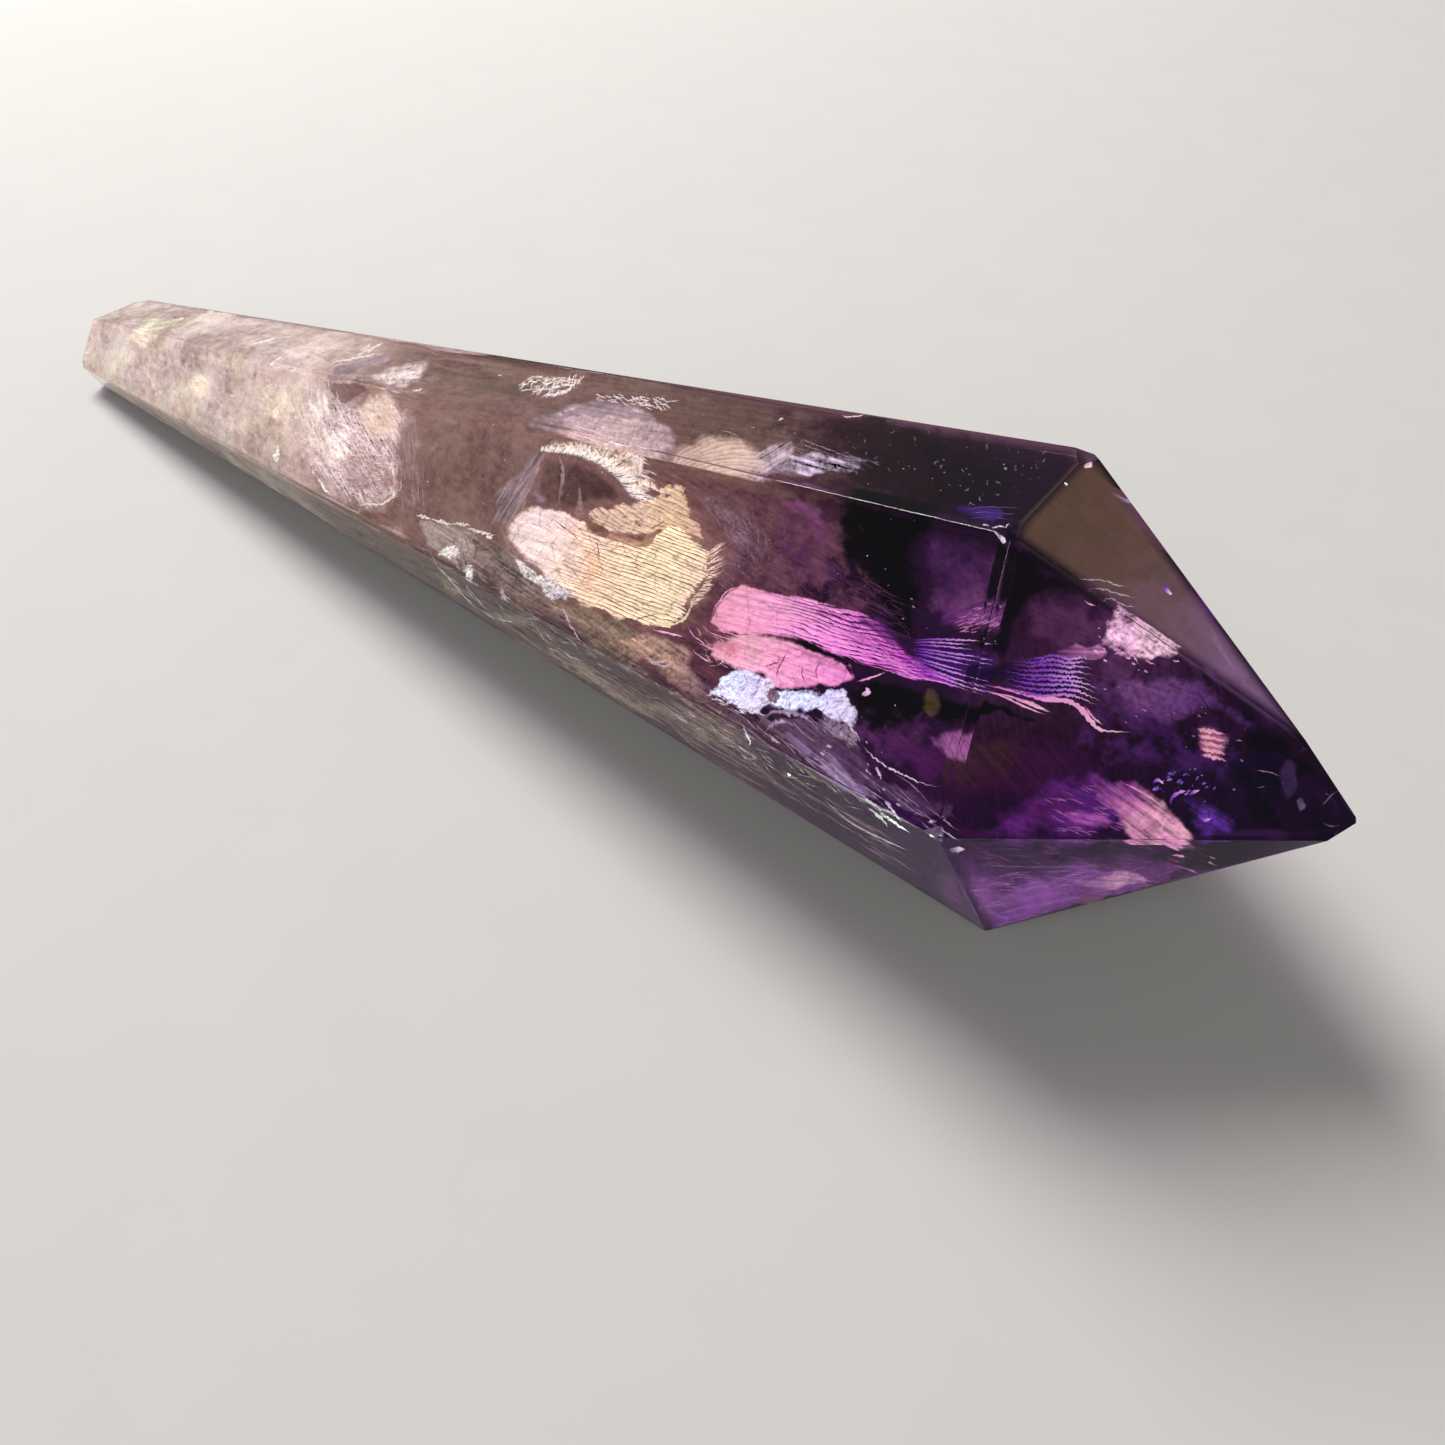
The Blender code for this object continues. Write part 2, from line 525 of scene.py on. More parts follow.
def grain_places(pixels, grain, scale):
    """Places in mm along and across the grain: an angle, or rings about or a fan from a pixel."""
    if isinstance(grain, tuple):
        kind, *middle = grain
        arm = pixels - np.array(middle)
        reach = np.linalg.norm(arm, axis=1)
        around = np.arctan2(arm[:, 1], arm[:, 0]) * reach.mean() * scale
        return (around, reach * scale) if kind == "rings" else (reach * scale, around)
    turn = math.radians(grain)
    along = pixels[:, 0] * math.cos(turn) + pixels[:, 1] * math.sin(turn)
    across = pixels[:, 1] * math.cos(turn) - pixels[:, 0] * math.sin(turn)
    return along * scale, across * scale


def ripples(places, size, chance):
    """Rolling relief from -1 to 1 over places in millimetres."""
    shift = chance.uniform(0, 100)
    return np.array([noise.fractal(Vector((x / size, y / size, shift)), 0.8, 2.1, 4)
                     for x, y in places])


def pixel_size(pixels, window):
    """Millimetres across one pixel at the window, in the middle of these pixels."""
    middle = np.asarray(pixels, float).mean(0)
    pair = inside([middle, middle + (1, 0)], window, np.zeros(2))
    return np.linalg.norm(pair[1] - pair[0]) / MM


hung = {}


def sheet(name, window, outline, depth, finish, lean=(0.0, 0.0), grain=0.0, relief=0.25,
          tearing=0.16, spacing=3.0):
    """Hang a torn, rippled sheet. lean is how many mm deeper it gets over 100 px right and down."""
    outline = pixels_of(outline)
    hung[name] = (outline, depth, finish, grain)
    chance = random.Random(name)
    rim = torn(outline, tearing, max(2.5, spacing * 0.8), chance)
    pixels, faces = filled(clipped(rim, windows[window][2]), spacing, chance)
    scale = pixel_size(pixels, window)
    along, across = grain_places(pixels, grain, scale)
    offset = (pixels - outline.mean(0)) / 100
    rolls = ripples(np.stack([along, across], 1), RIPPLE_SIZE, chance)
    depths = (depth + offset @ np.array(lean) + relief * rolls).clip(THINNEST_COVER, None)
    places = np.stack([along, across, np.full(len(along), chance.uniform(0, 50))], 1)
    run = (along - along.min()) / max(np.ptp(along), 1e-6)
    rims = rim_distance(pixels, rim) * scale
    piece = hang(name, inside(pixels, window, depths * MM), faces, finish,
                 place=places, rim=rims, run=run, share=rims / max(rims.max(), 1e-6))
    print(f"{name}: {len(faces)} triangles, {scale:.3f} mm a pixel, {depth} mm deep")
    return piece


# %% [markdown]
# ## The finish of a veil
#
# All veils share one recipe with different numbers. The colour follows a ramp along the
# sheet, moved about by clouds, with brush marks along the grain and grit. The edge frays:
# noise eats into it, and the comb makes that noise long and thin, which leaves teeth.
# Folds get painted light on one side and painted shade on the other. Dark growth lines run
# along the grain, with painted light and shade across the ridge beside each, and cracks split the
# face. A soft haze has the same finish, but its edge fades over a share of its own width, and a
# thread is a haze that reaches its edges. A little light of its own, which is painted light, stands
# in for the light that a real crack throws back like foil; every sheet made with this recipe glows.


# %% Veil recipe
TEETH_SPAN = (0.55, 0.95)
RIDGE_SHADE = 0.5
CRACK_WIDTH = 0.06
VEIL_ROUGHNESS = 0.45
VEIL_BUMP_REACH = 0.15 * MM


def attribute(wire, name, output):
    return wire.node("Attribute", {"attribute_name": name}, output=output)


def grow_lines(wire, place, run, gap, share, drift, wiggle, span):
    """Dark lines along the grain, 1 on a line, and a ridge from 0 to 1 between two lines."""
    across = wire.node("SeparateXYZ", Vector=place, output=1)
    far = clouds(wire, place * (0.4, 1.0, 1.0), 3.0, detail=1.0)
    near = clouds(wire, place * (0.5, 1.2, 1.0), 0.7, detail=2.0)
    ridge = (across / gap + far * drift * 2 + near * wiggle * 2).fraction()
    line = (abs(ridge - 0.5) + (near - 0.5) * 0.35).between(0.5 - share, 0.5 - share * 0.3)
    breaks = clouds(wire, place * (0.3, 1.6, 1.0), 1.3, detail=2.0).between(0.32, 0.44)
    return line * breaks * run.between(*span), ridge


def veil_finish(name, wash, mottle=0.1, grit=0.25, brush=0.2, cover=0.96, fade=0.25, fray=0.8, soft=False,
                comb=0.0, thin=0.0, thin_size=1.2, thin_soft=0.08,
                lines=0.0, line_colour=(0.2, 0.1, 0.1), line_gap=0.45, line_share=0.22, line_drift=2.0,
                line_wiggle=0.55, line_span=(0.0, 0.05), line_opens=0.0,
                cracks=0.0, crack_size=1.0, crack_span=(2.0, 3.0), folds=0.0, fold_size=1.1,
                glow=1.15, shine=0.0, bump=0.35):
    """A veil's material. wash holds its screen colours along the sheet, each with a place from 0 to 1."""
    material, wire, shader = new_finish(name)
    place = attribute(wire, "place", 1)
    run = attribute(wire, "run", 2)
    edge = attribute(wire, "share" if soft else "rim", 2)
    lumps = clouds(wire, place, 2.6 if soft else 2.0, detail=2.5, roughness=0.6)
    fine = clouds(wire, place, 0.45, detail=2.0, roughness=0.75)
    marks = clouds(wire, place * (0.16, 2.4, 1.0), 0.8, detail=2.0)
    colour = (run + (lumps - 0.5) * mottle * 4).ramp(toned(wash))
    shade = (fine - 0.5) * grit * 3 + (marks - 0.5) * brush * 3 + (lumps - 0.5) * mottle * 2 + 1.0
    height = fine * 0.4 + marks * 0.4
    if folds:
        fold = clouds(wire, place, fold_size, detail=2.5, roughness=0.62)
        beside = clouds(wire, place + (0.10, 0.13, 0.0), fold_size, detail=2.5, roughness=0.62)
        # painted light and shade on the folds, as if lit from one side
        shade = shade + (fold - beside) * folds
        height = height + fold
    if fray:
        frayed = clouds(wire, place, 2.2 if soft else 1.3, detail=4.0, roughness=0.72)
        edge = edge - (frayed - 0.28) * fray * 2
    if comb:
        teeth = clouds(wire, place * (0.14, 2.2, 1.0), 0.5, detail=2.0)
        edge = edge - (teeth - 0.3) * run.between(*TEETH_SPAN) * comb * 2
    if isinstance(fade, tuple):
        fade = fade[0] + (fade[1] - fade[0]) * run.between(0.1, 0.4)
    opening = edge.between(0, fade) * cover
    if thin:
        rents = clouds(wire, place, thin_size, detail=3.5, roughness=0.72)
        opening = opening * rents.between(thin - thin_soft, thin + thin_soft)
    if lines:
        line, ridge = grow_lines(wire, place, run, line_gap, line_share, line_drift, line_wiggle, line_span)
        line = line * lines
        # painted light and shade across the ridge between two lines
        shade = shade + (ridge - 0.5) * run.between(*line_span) * RIDGE_SHADE
        colour = line.mixed(colour, line_colour)
        opening = opening * (1 - line * run.between(0.6, 1.0) * line_opens)
        height = height - line
    if cracks:
        bent = place + (lumps - 0.5) * 1.2
        cells = wire.node("TexVoronoi", {"feature": "DISTANCE_TO_EDGE"}, Vector=bent, Scale=1 / crack_size)
        broken = clouds(wire, place, 1.7, detail=1.0).between(0.45, 0.55)
        crack = (1 - cells.between(0.0, CRACK_WIDTH)) * broken
        crack = crack * (1 - run.between(*crack_span)) * cracks
        colour = crack.mixed(colour, line_colour)
        height = height - crack
    colour = wire.node("VectorMath", {"operation": "MULTIPLY"}, i0=colour,
                       i1=wire.node("CombineXYZ", X=shade, Y=shade, Z=shade))
    feed(wire.tree, shader.inputs["Base Color"], colour)
    # painted light: the sheet glows in its own colour
    feed(wire.tree, shader.inputs["Emission Color"], colour)
    feed(wire.tree, shader.inputs["Alpha"], opening)
    feed(wire.tree, shader.inputs["Normal"],
         wire.node("Bump", Height=height, Strength=bump, Distance=VEIL_BUMP_REACH))
    shader.inputs["Emission Strength"].default_value = glow
    shader.inputs["Roughness"].default_value = VEIL_ROUGHNESS
    shader.inputs["Specular IOR Level"].default_value = shine
    material.cycles.emission_sampling = "NONE"
    return material


def haze(name, *colours, cover=0.9, fade=0.40, fray=0.5, mottle=0.3, brush=0.5, grit=0.4, **more):
    """A cloud of colour with a wide soft edge, going from the first colour to the last."""
    wash = [(0.1 + 0.8 * i / max(len(colours) - 1, 1), colour) for i, colour in enumerate(colours)]
    return veil_finish(name, wash, cover=cover, fade=fade, fray=fray, mottle=mottle, brush=brush, grit=grit,
                       soft=True, bump=0.1, **more)


def thread(name, *colours, cover=0.7, **more):
    """The finish of fine soft lines, which show across nearly their whole width."""
    return haze(name, *colours, cover=cover, fade=0.5, fray=0.05, **more)


def mist(name, window, outline, depth, *colours, grain=0.0, relief=0.25, tearing=0.16, spacing=3.0, **more):
    """A sheet with a haze of its own in these colours."""
    return sheet(name, window, outline, depth, haze(name.replace("_", " "), *colours, **more),
                 grain=grain, relief=relief, tearing=tearing, spacing=spacing)


# %% [markdown]
# ## Strokes and flecks
#
# Fine bright lines in the stone are narrow ribbons that lie parallel to the flat above.
# A ribbon follows a few pixels on a smooth curve, wobbles a little and tapers at both ends,
# or runs from one width to another. Glints, crumbs and dust are small flakes with odd
# outlines, strewn inside an outline, and hatching strews short ribbons in the same way.
# Barbs stand side by side on a curve, like those of a feather.


# %% Stroke and fleck builders
STROKE_SPREAD = 0.2
FLECK_SPREAD = 0.3
NO_RIM = 9.0


def smooth_path(points, steps):
    """A smooth curve through the points, as in a drawn line."""
    points = pixels_of(points)
    padded = np.concatenate([[2 * points[0] - points[1]], points, [2 * points[-1] - points[-2]]])
    share = np.linspace(0, 1, steps, endpoint=False)[:, None]
    path = []
    for a, b, c, d in zip(padded, padded[1:], padded[2:], padded[3:]):
        path.append(0.5 * (2 * b + (c - a) * share + (2 * a - 5 * b + 4 * c - d) * share ** 2
                           + (3 * b - a - 3 * c + d) * share ** 3))
    return np.concatenate(path + [points[-1:]])


def ribbon(points, width, chance, wobble, taper):
    """The left side, spine and right side of a ribbon, its half width and its run from 0 to 1."""
    path = smooth_path(points, 8 if len(points) > 2 else 4)
    run = np.linspace(0, 1, len(path))
    heading = np.gradient(path, axis=0)
    heading /= np.linalg.norm(heading, axis=1)[:, None] + 1e-9
    sideways = np.stack([-heading[:, 1], heading[:, 0]], 1)
    path = path + sideways * np.array([chance.uniform(-wobble, wobble) for _ in path])[:, None]
    if isinstance(width, tuple):
        half = (width[0] + (width[1] - width[0]) * run) / 2
    else:
        half = width / 2 * (np.minimum(1, np.minimum(run, 1 - run) / taper + 0.08))
    half = half * np.array([chance.uniform(0.65, 1.15) for _ in path])
    return path + sideways * half[:, None], path, path - sideways * half[:, None], half, run


def strokes(name, window, lines, width, depth, finish, wobble=0.25, taper=0.3):
    """Hang ribbons along lines of pixels. The width is in pixels and the depth in millimetres."""
    chance = random.Random(name)
    pixels, faces, runs, rims, depths = [], [], [], [], []
    for line in lines_of(lines):
        left, spine, right, half, run = ribbon(line, width, chance, wobble, taper)
        first, length = len(runs), len(run)
        pixels += [*left, *spine, *right]
        runs += [*run] * 3
        rims += [*(half * 0), *half, *(half * 0)]
        depths += [depth + chance.uniform(0, STROKE_SPREAD)] * (3 * length)
        for start in (first, first + length):
            faces += [(start + i, start + i + 1, start + length + i + 1, start + length + i)
                      for i in range(length - 1)]
    return hang_flat(name, window, np.array(pixels), faces, np.array(depths), finish,
                     np.array(runs), np.array(rims))


def hatching(name, outline, count, length, turn, swing=12.0):
    """Short, slightly bent lines strewn inside an outline, all turned about the same way."""
    chance = random.Random(name)
    outline = pixels_of(outline)
    low, high = outline.min(0), outline.max(0)
    lines = []
    while len(lines) < count:
        middle = np.array([chance.uniform(low[0], high[0]), chance.uniform(low[1], high[1])])
        if in_outline(middle[None], outline)[0]:
            angle = math.radians(turn + chance.uniform(-swing, swing))
            reach = length * chance.uniform(0.3, 0.6)
            way = np.array([math.cos(angle), math.sin(angle)]) * reach
            side = np.array([-way[1], way[0]]) * chance.uniform(-0.15, 0.15)
            lines.append([middle - way, middle + side, middle + way])
    return lines


def hairs(name, window, outline, count, length, turn, width, depth, finish, swing=12.0, **more):
    """Ribbons strewn as hatching inside an outline."""
    lines = hatching(name.replace("_", " "), outline, count, length, turn, swing)
    return strokes(name, window, lines, width, depth, finish, **more)


def barbs(name, spine, reach, count, lean, swing=7.0):
    """Short bent lines that stand on a smooth spine, as on a feather. Their length in pixels and
    their lean in degrees go from the first to the second number along the spine."""
    chance = random.Random(name)
    path = smooth_path(spine, 12)
    heading = np.gradient(path, axis=0)
    lines = []
    for number in range(count):
        run = (number + chance.random()) / count
        i = min(int(run * (len(path) - 1)), len(path) - 2)
        angle = math.atan2(heading[i, 1], heading[i, 0])
        angle += math.radians(lean[0] + (lean[1] - lean[0]) * run + chance.uniform(-swing, swing))
        length = (reach[0] + (reach[1] - reach[0]) * run) * chance.uniform(0.6, 1.1)
        way = np.array([math.cos(angle), math.sin(angle)]) * length
        side = np.array([-way[1], way[0]]) * chance.uniform(-0.12, 0.12)
        lines.append([path[i], path[i] + way / 2 + side, path[i] + way])
    return lines


def flecks(name, window, outline, count, size, depth, finish, stretch=1.0, turn=0.0):
    """Strew small flakes inside an outline. The size is in pixels."""
    chance = random.Random(name)
    outline = pixels_of(outline)
    low, high = outline.min(0), outline.max(0)
    pixels, faces, extra = [], [], []
    while len(faces) < count:
        middle = np.array([[chance.uniform(low[0], high[0]), chance.uniform(low[1], high[1])]])
        if not in_outline(middle, outline)[0]:
            continue
        corners = chance.randint(5, 8)
        reach = size * chance.uniform(0.4, 1.0) ** 2
        angle = math.radians(turn + chance.uniform(-25, 25))
        faces.append(tuple(range(len(pixels), len(pixels) + corners)))
        deeper = chance.uniform(0, FLECK_SPREAD)
        for i in range(corners):
            way = 2 * math.pi * (i + chance.uniform(-0.3, 0.3)) / corners
            x = math.cos(way) * reach * stretch * chance.uniform(0.6, 1)
            y = math.sin(way) * reach * chance.uniform(0.6, 1)
            pixels.append(middle[0] + (x * math.cos(angle) - y * math.sin(angle),
                                       x * math.sin(angle) + y * math.cos(angle)))
            extra.append(deeper)
    return hang_flat(name, window, np.array(pixels), faces, depth + np.array(extra), finish,
                     np.array(extra) / FLECK_SPREAD, np.full(len(pixels), NO_RIM))


def hang_flat(name, window, pixels, faces, depths, finish, run, rims):
    """Hang flat bits without ripples, with a depth and a distance from the rim for each point."""
    scale = pixel_size(pixels, window)
    places = np.concatenate([pixels * scale, np.zeros((len(pixels), 1))], 1)
    piece = hang(name, inside(pixels, window, depths * MM), faces, finish, place=places, rim=rims * scale,
                 run=run, share=rims / max(rims.max(), 1e-6))
    print(f"{name}: {len(faces)} faces")
    return piece


def fan_of_lines(name, upper, lower, count, ragged=0.08):
    """Lines laid between two guide lines of as many points, with uneven ends."""
    chance = random.Random(name)
    upper, lower = pixels_of(upper), pixels_of(lower)
    lines = []
    for i in range(count):
        share = (i + chance.uniform(0.25, 0.75)) / count
        line = smooth_path(upper + (lower - upper) * share, 6)
        first = int(len(line) * chance.uniform(0, ragged))
        last = len(line) - int(len(line) * chance.uniform(0, ragged))
        lines.append(line[first:last:3])
    return lines


# %% [markdown]
# ## A dark core and a milky butt
#
# Towards the point the violet is much denser inside than at the skin. A second closed shape
# with a stronger absorption, and no bending of its own, sits in the stone there. It starts
# as a thin spike in the middle, so the colour deepens slowly along the stone.
# The butt is milky with tiny bubbles and cracks. Two tubes in it, one within the other and
# with holes where clouds of noise are thin, give that milk depth from every side.


# %% Core and milk builders
# The point leans to the back: how far, and between which places along the stone, in mm.
TIP_ASIDE = 1.9 * MM
GIRDLE_X = 50
POINT_LENGTH = 25


def middle_at(x):
    """The middle of the stone's cross-section at x, found by looking at it from above and below."""
    y = TIP_ASIDE * min(1.0, max(0.0, (x / MM - GIRDLE_X) / POINT_LENGTH))
    top = stone.ray_cast(Vector((x, y, 1.0)), Vector((0, 0, -1)))[1]
    bottom = stone.ray_cast(Vector((x, y, -1.0)), Vector((0, 0, 1)))[1]
    return (top + bottom) / 2


TUBE_AROUND = 48
TUBE_RELIEF = 0.06
TUBE_LUMP = 6 * MM
CORE_COLOUR = (0.36, 0.0, 0.46)
CORE_DENSITY = 110
CORE_START = 2
CORE_FULL = 44
CORE_END = 72
CORE_SPIKE = 0.02
CORE_SHARE = 0.74
MILK_START = -74.3
# Each tube: where it ends, its reach as a share of the stone's, where it thins out, its cover.
MILK_TUBES = {
    "milk_skin": (-16, 0.92, (-34, -22), 0.72),
    "milk_middle": (26, 0.78, (2, 20), 0.80),
}
MILK_TO_SMOKE = (-30, -20)
# The milk glows with painted light of its own, which stands in for the light that it scatters.
MILK_GLOW = 0.8
MILK_ROUGHNESS = 0.6
MILK_BUMP_REACH = 0.3 * MM
MAUVE_MILK = [
    (0.18, (146, 116, 124)),
    (0.4, (190, 163, 168)),
    (0.62, (224, 200, 204)),
    (0.85, (248, 230, 236)),
]
CREAM_MILK = [
    (0.18, (156, 130, 130)),
    (0.4, (202, 178, 174)),
    (0.62, (232, 210, 205)),
    (0.85, (250, 236, 230)),
]
SMOKY_MILK = [(0.2, (98, 74, 76)), (0.5, (136, 108, 104)), (0.8, (158, 132, 126))]


def inner_tube(name, start, end, share_at, finish, stations=40):
    """A closed tube inside the stone. share_at(x) is its reach as a share of the stone's own."""
    chance = random.Random(name)
    shift = chance.uniform(0, 100)
    points, faces = [], []
    for x in np.linspace(start, end, stations) * MM:
        middle = middle_at(x)
        for turn in np.linspace(0, 2 * math.pi, TUBE_AROUND, endpoint=False):
            way = Vector((0, math.cos(turn), math.sin(turn)))
            reach = (stone.ray_cast(middle, way)[1] - middle).length
            roll = noise.fractal((middle + way * reach) / TUBE_LUMP + Vector((shift, 0, 0)), 0.8, 2.1, 3)
            points.append(middle + way * reach * share_at(x / MM) * (1 + TUBE_RELIEF * roll))
    for ring in range(stations - 1):
        for i in range(TUBE_AROUND):
            a, b = ring * TUBE_AROUND + i, ring * TUBE_AROUND + (i + 1) % TUBE_AROUND
            faces.append((a, b, b + TUBE_AROUND, a + TUBE_AROUND))
    faces.append(tuple(range(TUBE_AROUND - 1, -1, -1)))
    faces.append(tuple(range((stations - 1) * TUBE_AROUND, stations * TUBE_AROUND)))
    piece = hang(name, points, faces, finish)
    print(f"{name}: {len(faces)} faces from {start} to {end} mm")
    return piece


def core_finish():
    material, wire, shader = new_finish("violet core")
    shader.inputs["Base Color"].default_value = (1, 1, 1, 1)
    shader.inputs["Roughness"].default_value = 0.0
    shader.inputs["IOR"].default_value = 1.0
    shader.inputs["Transmission Weight"].default_value = 1.0
    let_lamps_through(wire, shader, (1, 1, 1))
    absorption = wire.node("VolumeAbsorption", Color=CORE_COLOUR, Density=CORE_DENSITY)
    wire.tree.links.new(absorption.socket, wire.tree.nodes["Material Output"].inputs["Volume"])
    return material


def core_share(x):
    rise = min(1.0, max(0.0, (x - CORE_START) / (CORE_FULL - CORE_START)))
    return CORE_SPIKE + (CORE_SHARE - CORE_SPIKE) * rise * rise * (3 - 2 * rise)


def milk_finish(name, ending, cover):
    """Cream and mauve clouds at the butt that turn to a brown smoke, end over a stretch of x and glow with
    painted light.
    """
    material, wire, shader = new_finish(name)
    where = wire.node("TexCoord", output=3) * (1 / MM)
    along = wire.node("SeparateXYZ", Vector=where)
    lumps = clouds(wire, where, 6.5, detail=3.0, roughness=0.62)
    fine = clouds(wire, where, 1.1, detail=3.5, roughness=0.75)
    marks = clouds(wire, where * (0.3, 1.0, 1.0), 0.35, detail=2.0)
    hue = clouds(wire, where + 20.0, 7.0, detail=2.0).between(0.40, 0.60)
    level = lumps * 1.6 + fine * 1.5 + marks * 0.4 - 1.22
    mauve = level.ramp(toned(MAUVE_MILK))
    cream = level.ramp(toned(CREAM_MILK))
    butt = hue.mixed(mauve, cream)
    smoke = level.ramp(toned(SMOKY_MILK))
    turning = (along + lumps * 12 - 6).between(*MILK_TO_SMOKE)
    colour = turning.mixed(butt, smoke)
    thick = clouds(wire, where, 3.2, detail=3.0, roughness=0.7).between(0.34, 0.60)
    stop = 1 - (along + lumps * 12 - 6).between(*ending)
    feed(wire.tree, shader.inputs["Base Color"], colour)
    feed(wire.tree, shader.inputs["Emission Color"], colour)
    feed(wire.tree, shader.inputs["Alpha"], (thick * 0.5 + 0.5) * stop * cover)
    feed(wire.tree, shader.inputs["Normal"],
         wire.node("Bump", Height=fine, Strength=0.3, Distance=MILK_BUMP_REACH))
    shader.inputs["Emission Strength"].default_value = MILK_GLOW
    shader.inputs["Roughness"].default_value = MILK_ROUGHNESS
    shader.inputs["Specular IOR Level"].default_value = 0.0
    material.cycles.emission_sampling = "NONE"
    return material


inner_tube("violet_core", CORE_START, CORE_END, core_share, core_finish(), stations=60)
for tube_name, (tube_end, tube_share, tube_ending, tube_cover) in MILK_TUBES.items():
    inner_tube(tube_name, MILK_START, tube_end, lambda x: tube_share,
               milk_finish(tube_name, tube_ending, tube_cover))

# %% [markdown]
# ## The ground of each flat
#
# Behind its veils every flat shows another part of the deep stone, so the colour changes
# with a jump at each edge. A wide cloud deep under each flat gives that ground: from cream
# over brown smoke to plum and violet, with brush-like growth marks along the stone.

# %% Grounds
# Each ground: its depth in mm, its grain in degrees, how strong its marks are, its colours.
GROUNDS = {
    FRONT: (4.6, 30, 0.35, [(0.0, (194, 166, 172)), (0.14, (232, 208, 218)), (0.29, (224, 198, 208)),
        (0.345, (156, 128, 126)), (0.4, (146, 116, 114)), (0.56, (128, 99, 98)), (0.68, (102, 70, 80)),
        (0.79, (42, 16, 48)), (1.0, (54, 24, 64))]),
    TOP: (3.0, 9, 0.35, [(0.0, (240, 222, 210)), (0.18, (196, 176, 166)), (0.3, (166, 144, 136)),
        (0.36, (134, 112, 104)), (0.5, (120, 98, 88)), (0.68, (100, 80, 72)), (0.76, (56, 36, 42)),
        (0.84, (30, 14, 22)), (1.0, (30, 12, 34))]),
    LOW_FRONT: (1.4, 31, 0.8, [(0.0, (152, 134, 132)), (0.25, (126, 110, 110)), (0.5, (104, 90, 90)),
        (0.68, (88, 66, 78)), (0.8, (54, 24, 62)), (0.93, (58, 16, 76)), (1.0, (80, 40, 90))]),
    TOP_POINT: (0.9, 50, 0.08, [(0.0, (92, 76, 54)), (0.3, (100, 82, 66)), (0.5, (114, 92, 92)),
        (0.75, (134, 108, 130)), (1.0, (134, 102, 140))]),
    POINT: (4.2, 82, 0.5, [(0.0, (26, 4, 32)), (0.25, (54, 26, 56)), (0.4, (68, 38, 68)),
        (0.58, (46, 16, 46)), (0.78, (42, 12, 50)), (1.0, (28, 4, 38))]),
    LOW_POINT: (1.6, 88, 0.3, [(0.0, (40, 12, 48)), (0.22, (62, 26, 76)), (0.45, (104, 58, 114)),
        (0.7, (124, 72, 140)), (1.0, (108, 60, 120))]),
}
for front_window in (FRONT, LOW_FRONT, POINT, LOW_POINT):
    GROUNDS[front_window.replace("front", "back")] = GROUNDS[front_window]
GROUNDS["rest"] = GROUNDS[FRONT]
GROUNDS["rest point"] = GROUNDS[POINT]


def make_ground(window, depth, grain, brush, wash):
    border = windows[window][2]
    middle = border.mean(0)
    # The grounds get painted fold shade too, and glow with painted light like every veil.
    finish = veil_finish(f"ground {window}", wash, mottle=0.07, grit=brush, brush=brush * 1.2,
                         folds=brush * 6, fold_size=2.4, cover=0.93, fade=1.2, fray=0.0, bump=0.1)
    sheet(f"ground_{window.replace(' ', '_')}", window, middle + (border - middle) * 1.02, depth, finish,
          grain=grain, relief=0.3, tearing=0.0, spacing=9.0)


for window_name, ground_values in GROUNDS.items():
    make_ground(window_name, *ground_values)

# %% [markdown]
# ## Finishes of the veils
#
# Each kind of sheet gets its own numbers in the one recipe: lines and a toothed edge for the
# big bright veils, thin places for crumbly cracks, and wide soft edges for hazes of colour.

# %% Veil finishes
DARK_LINE = tone(112, 74, 58)
cream_finish = veil_finish(
    "cream veil", [(0.0, (228, 206, 208)), (0.12, (243, 226, 228)), (0.3, (246, 226, 220)),
    (0.45, (250, 226, 200)), (0.62, (255, 238, 202)), (0.82, (255, 246, 204)), (1.0, (250, 228, 208))],
    mottle=0.07, grit=0.22, brush=0.3, comb=0.9, lines=0.95, line_colour=DARK_LINE, line_gap=0.42,
    line_share=0.15, line_wiggle=0.3, line_drift=1.4, line_span=(0.24, 0.45), line_opens=0.6, cracks=0.5,
    crack_size=1.7, folds=2.0, fold_size=1.5, glow=1.5, fade=(0.7, 0.2), fray=0.7)
cap_finish = veil_finish(
    "cream cap", [(0.0, (226, 196, 180)), (0.35, (240, 214, 190)), (0.7, (236, 206, 170)),
    (1.0, (212, 180, 162))], mottle=0.12, grit=0.3, comb=0.6, lines=0.6, line_colour=DARK_LINE,
    line_gap=0.5, line_share=0.14, line_opens=0.4, thin=0.34, folds=2.0, glow=1.2, fray=1.0)
magenta_finish = veil_finish(
    "magenta veil", [(0.0, (240, 170, 190)), (0.22, (248, 178, 212)), (0.45, (250, 164, 228)),
    (0.65, (232, 122, 220)), (0.85, (176, 72, 196)), (1.0, (110, 40, 160))], mottle=0.06, grit=0.2,
    brush=0.5, lines=1.0, line_colour=tone(70, 14, 80), line_gap=0.34, line_share=0.23,
    line_span=(0.12, 0.42), cracks=0.35, crack_size=2.2, crack_span=(0.2, 0.5), folds=1.2, fold_size=1.2,
    fray=0.35, fade=0.3, glow=1.4)
salmon_finish = veil_finish(
    "salmon veil", [(0.0, (212, 166, 168)), (0.3, (238, 182, 196)), (0.6, (244, 172, 208)),
    (1.0, (230, 138, 204))], cracks=0.3, line_colour=tone(160, 70, 112), crack_size=3.0, fray=0.45,
    fade=0.4, mottle=0.12, grit=0.3, brush=0.4, folds=1.6, fold_size=1.4, glow=1.3)
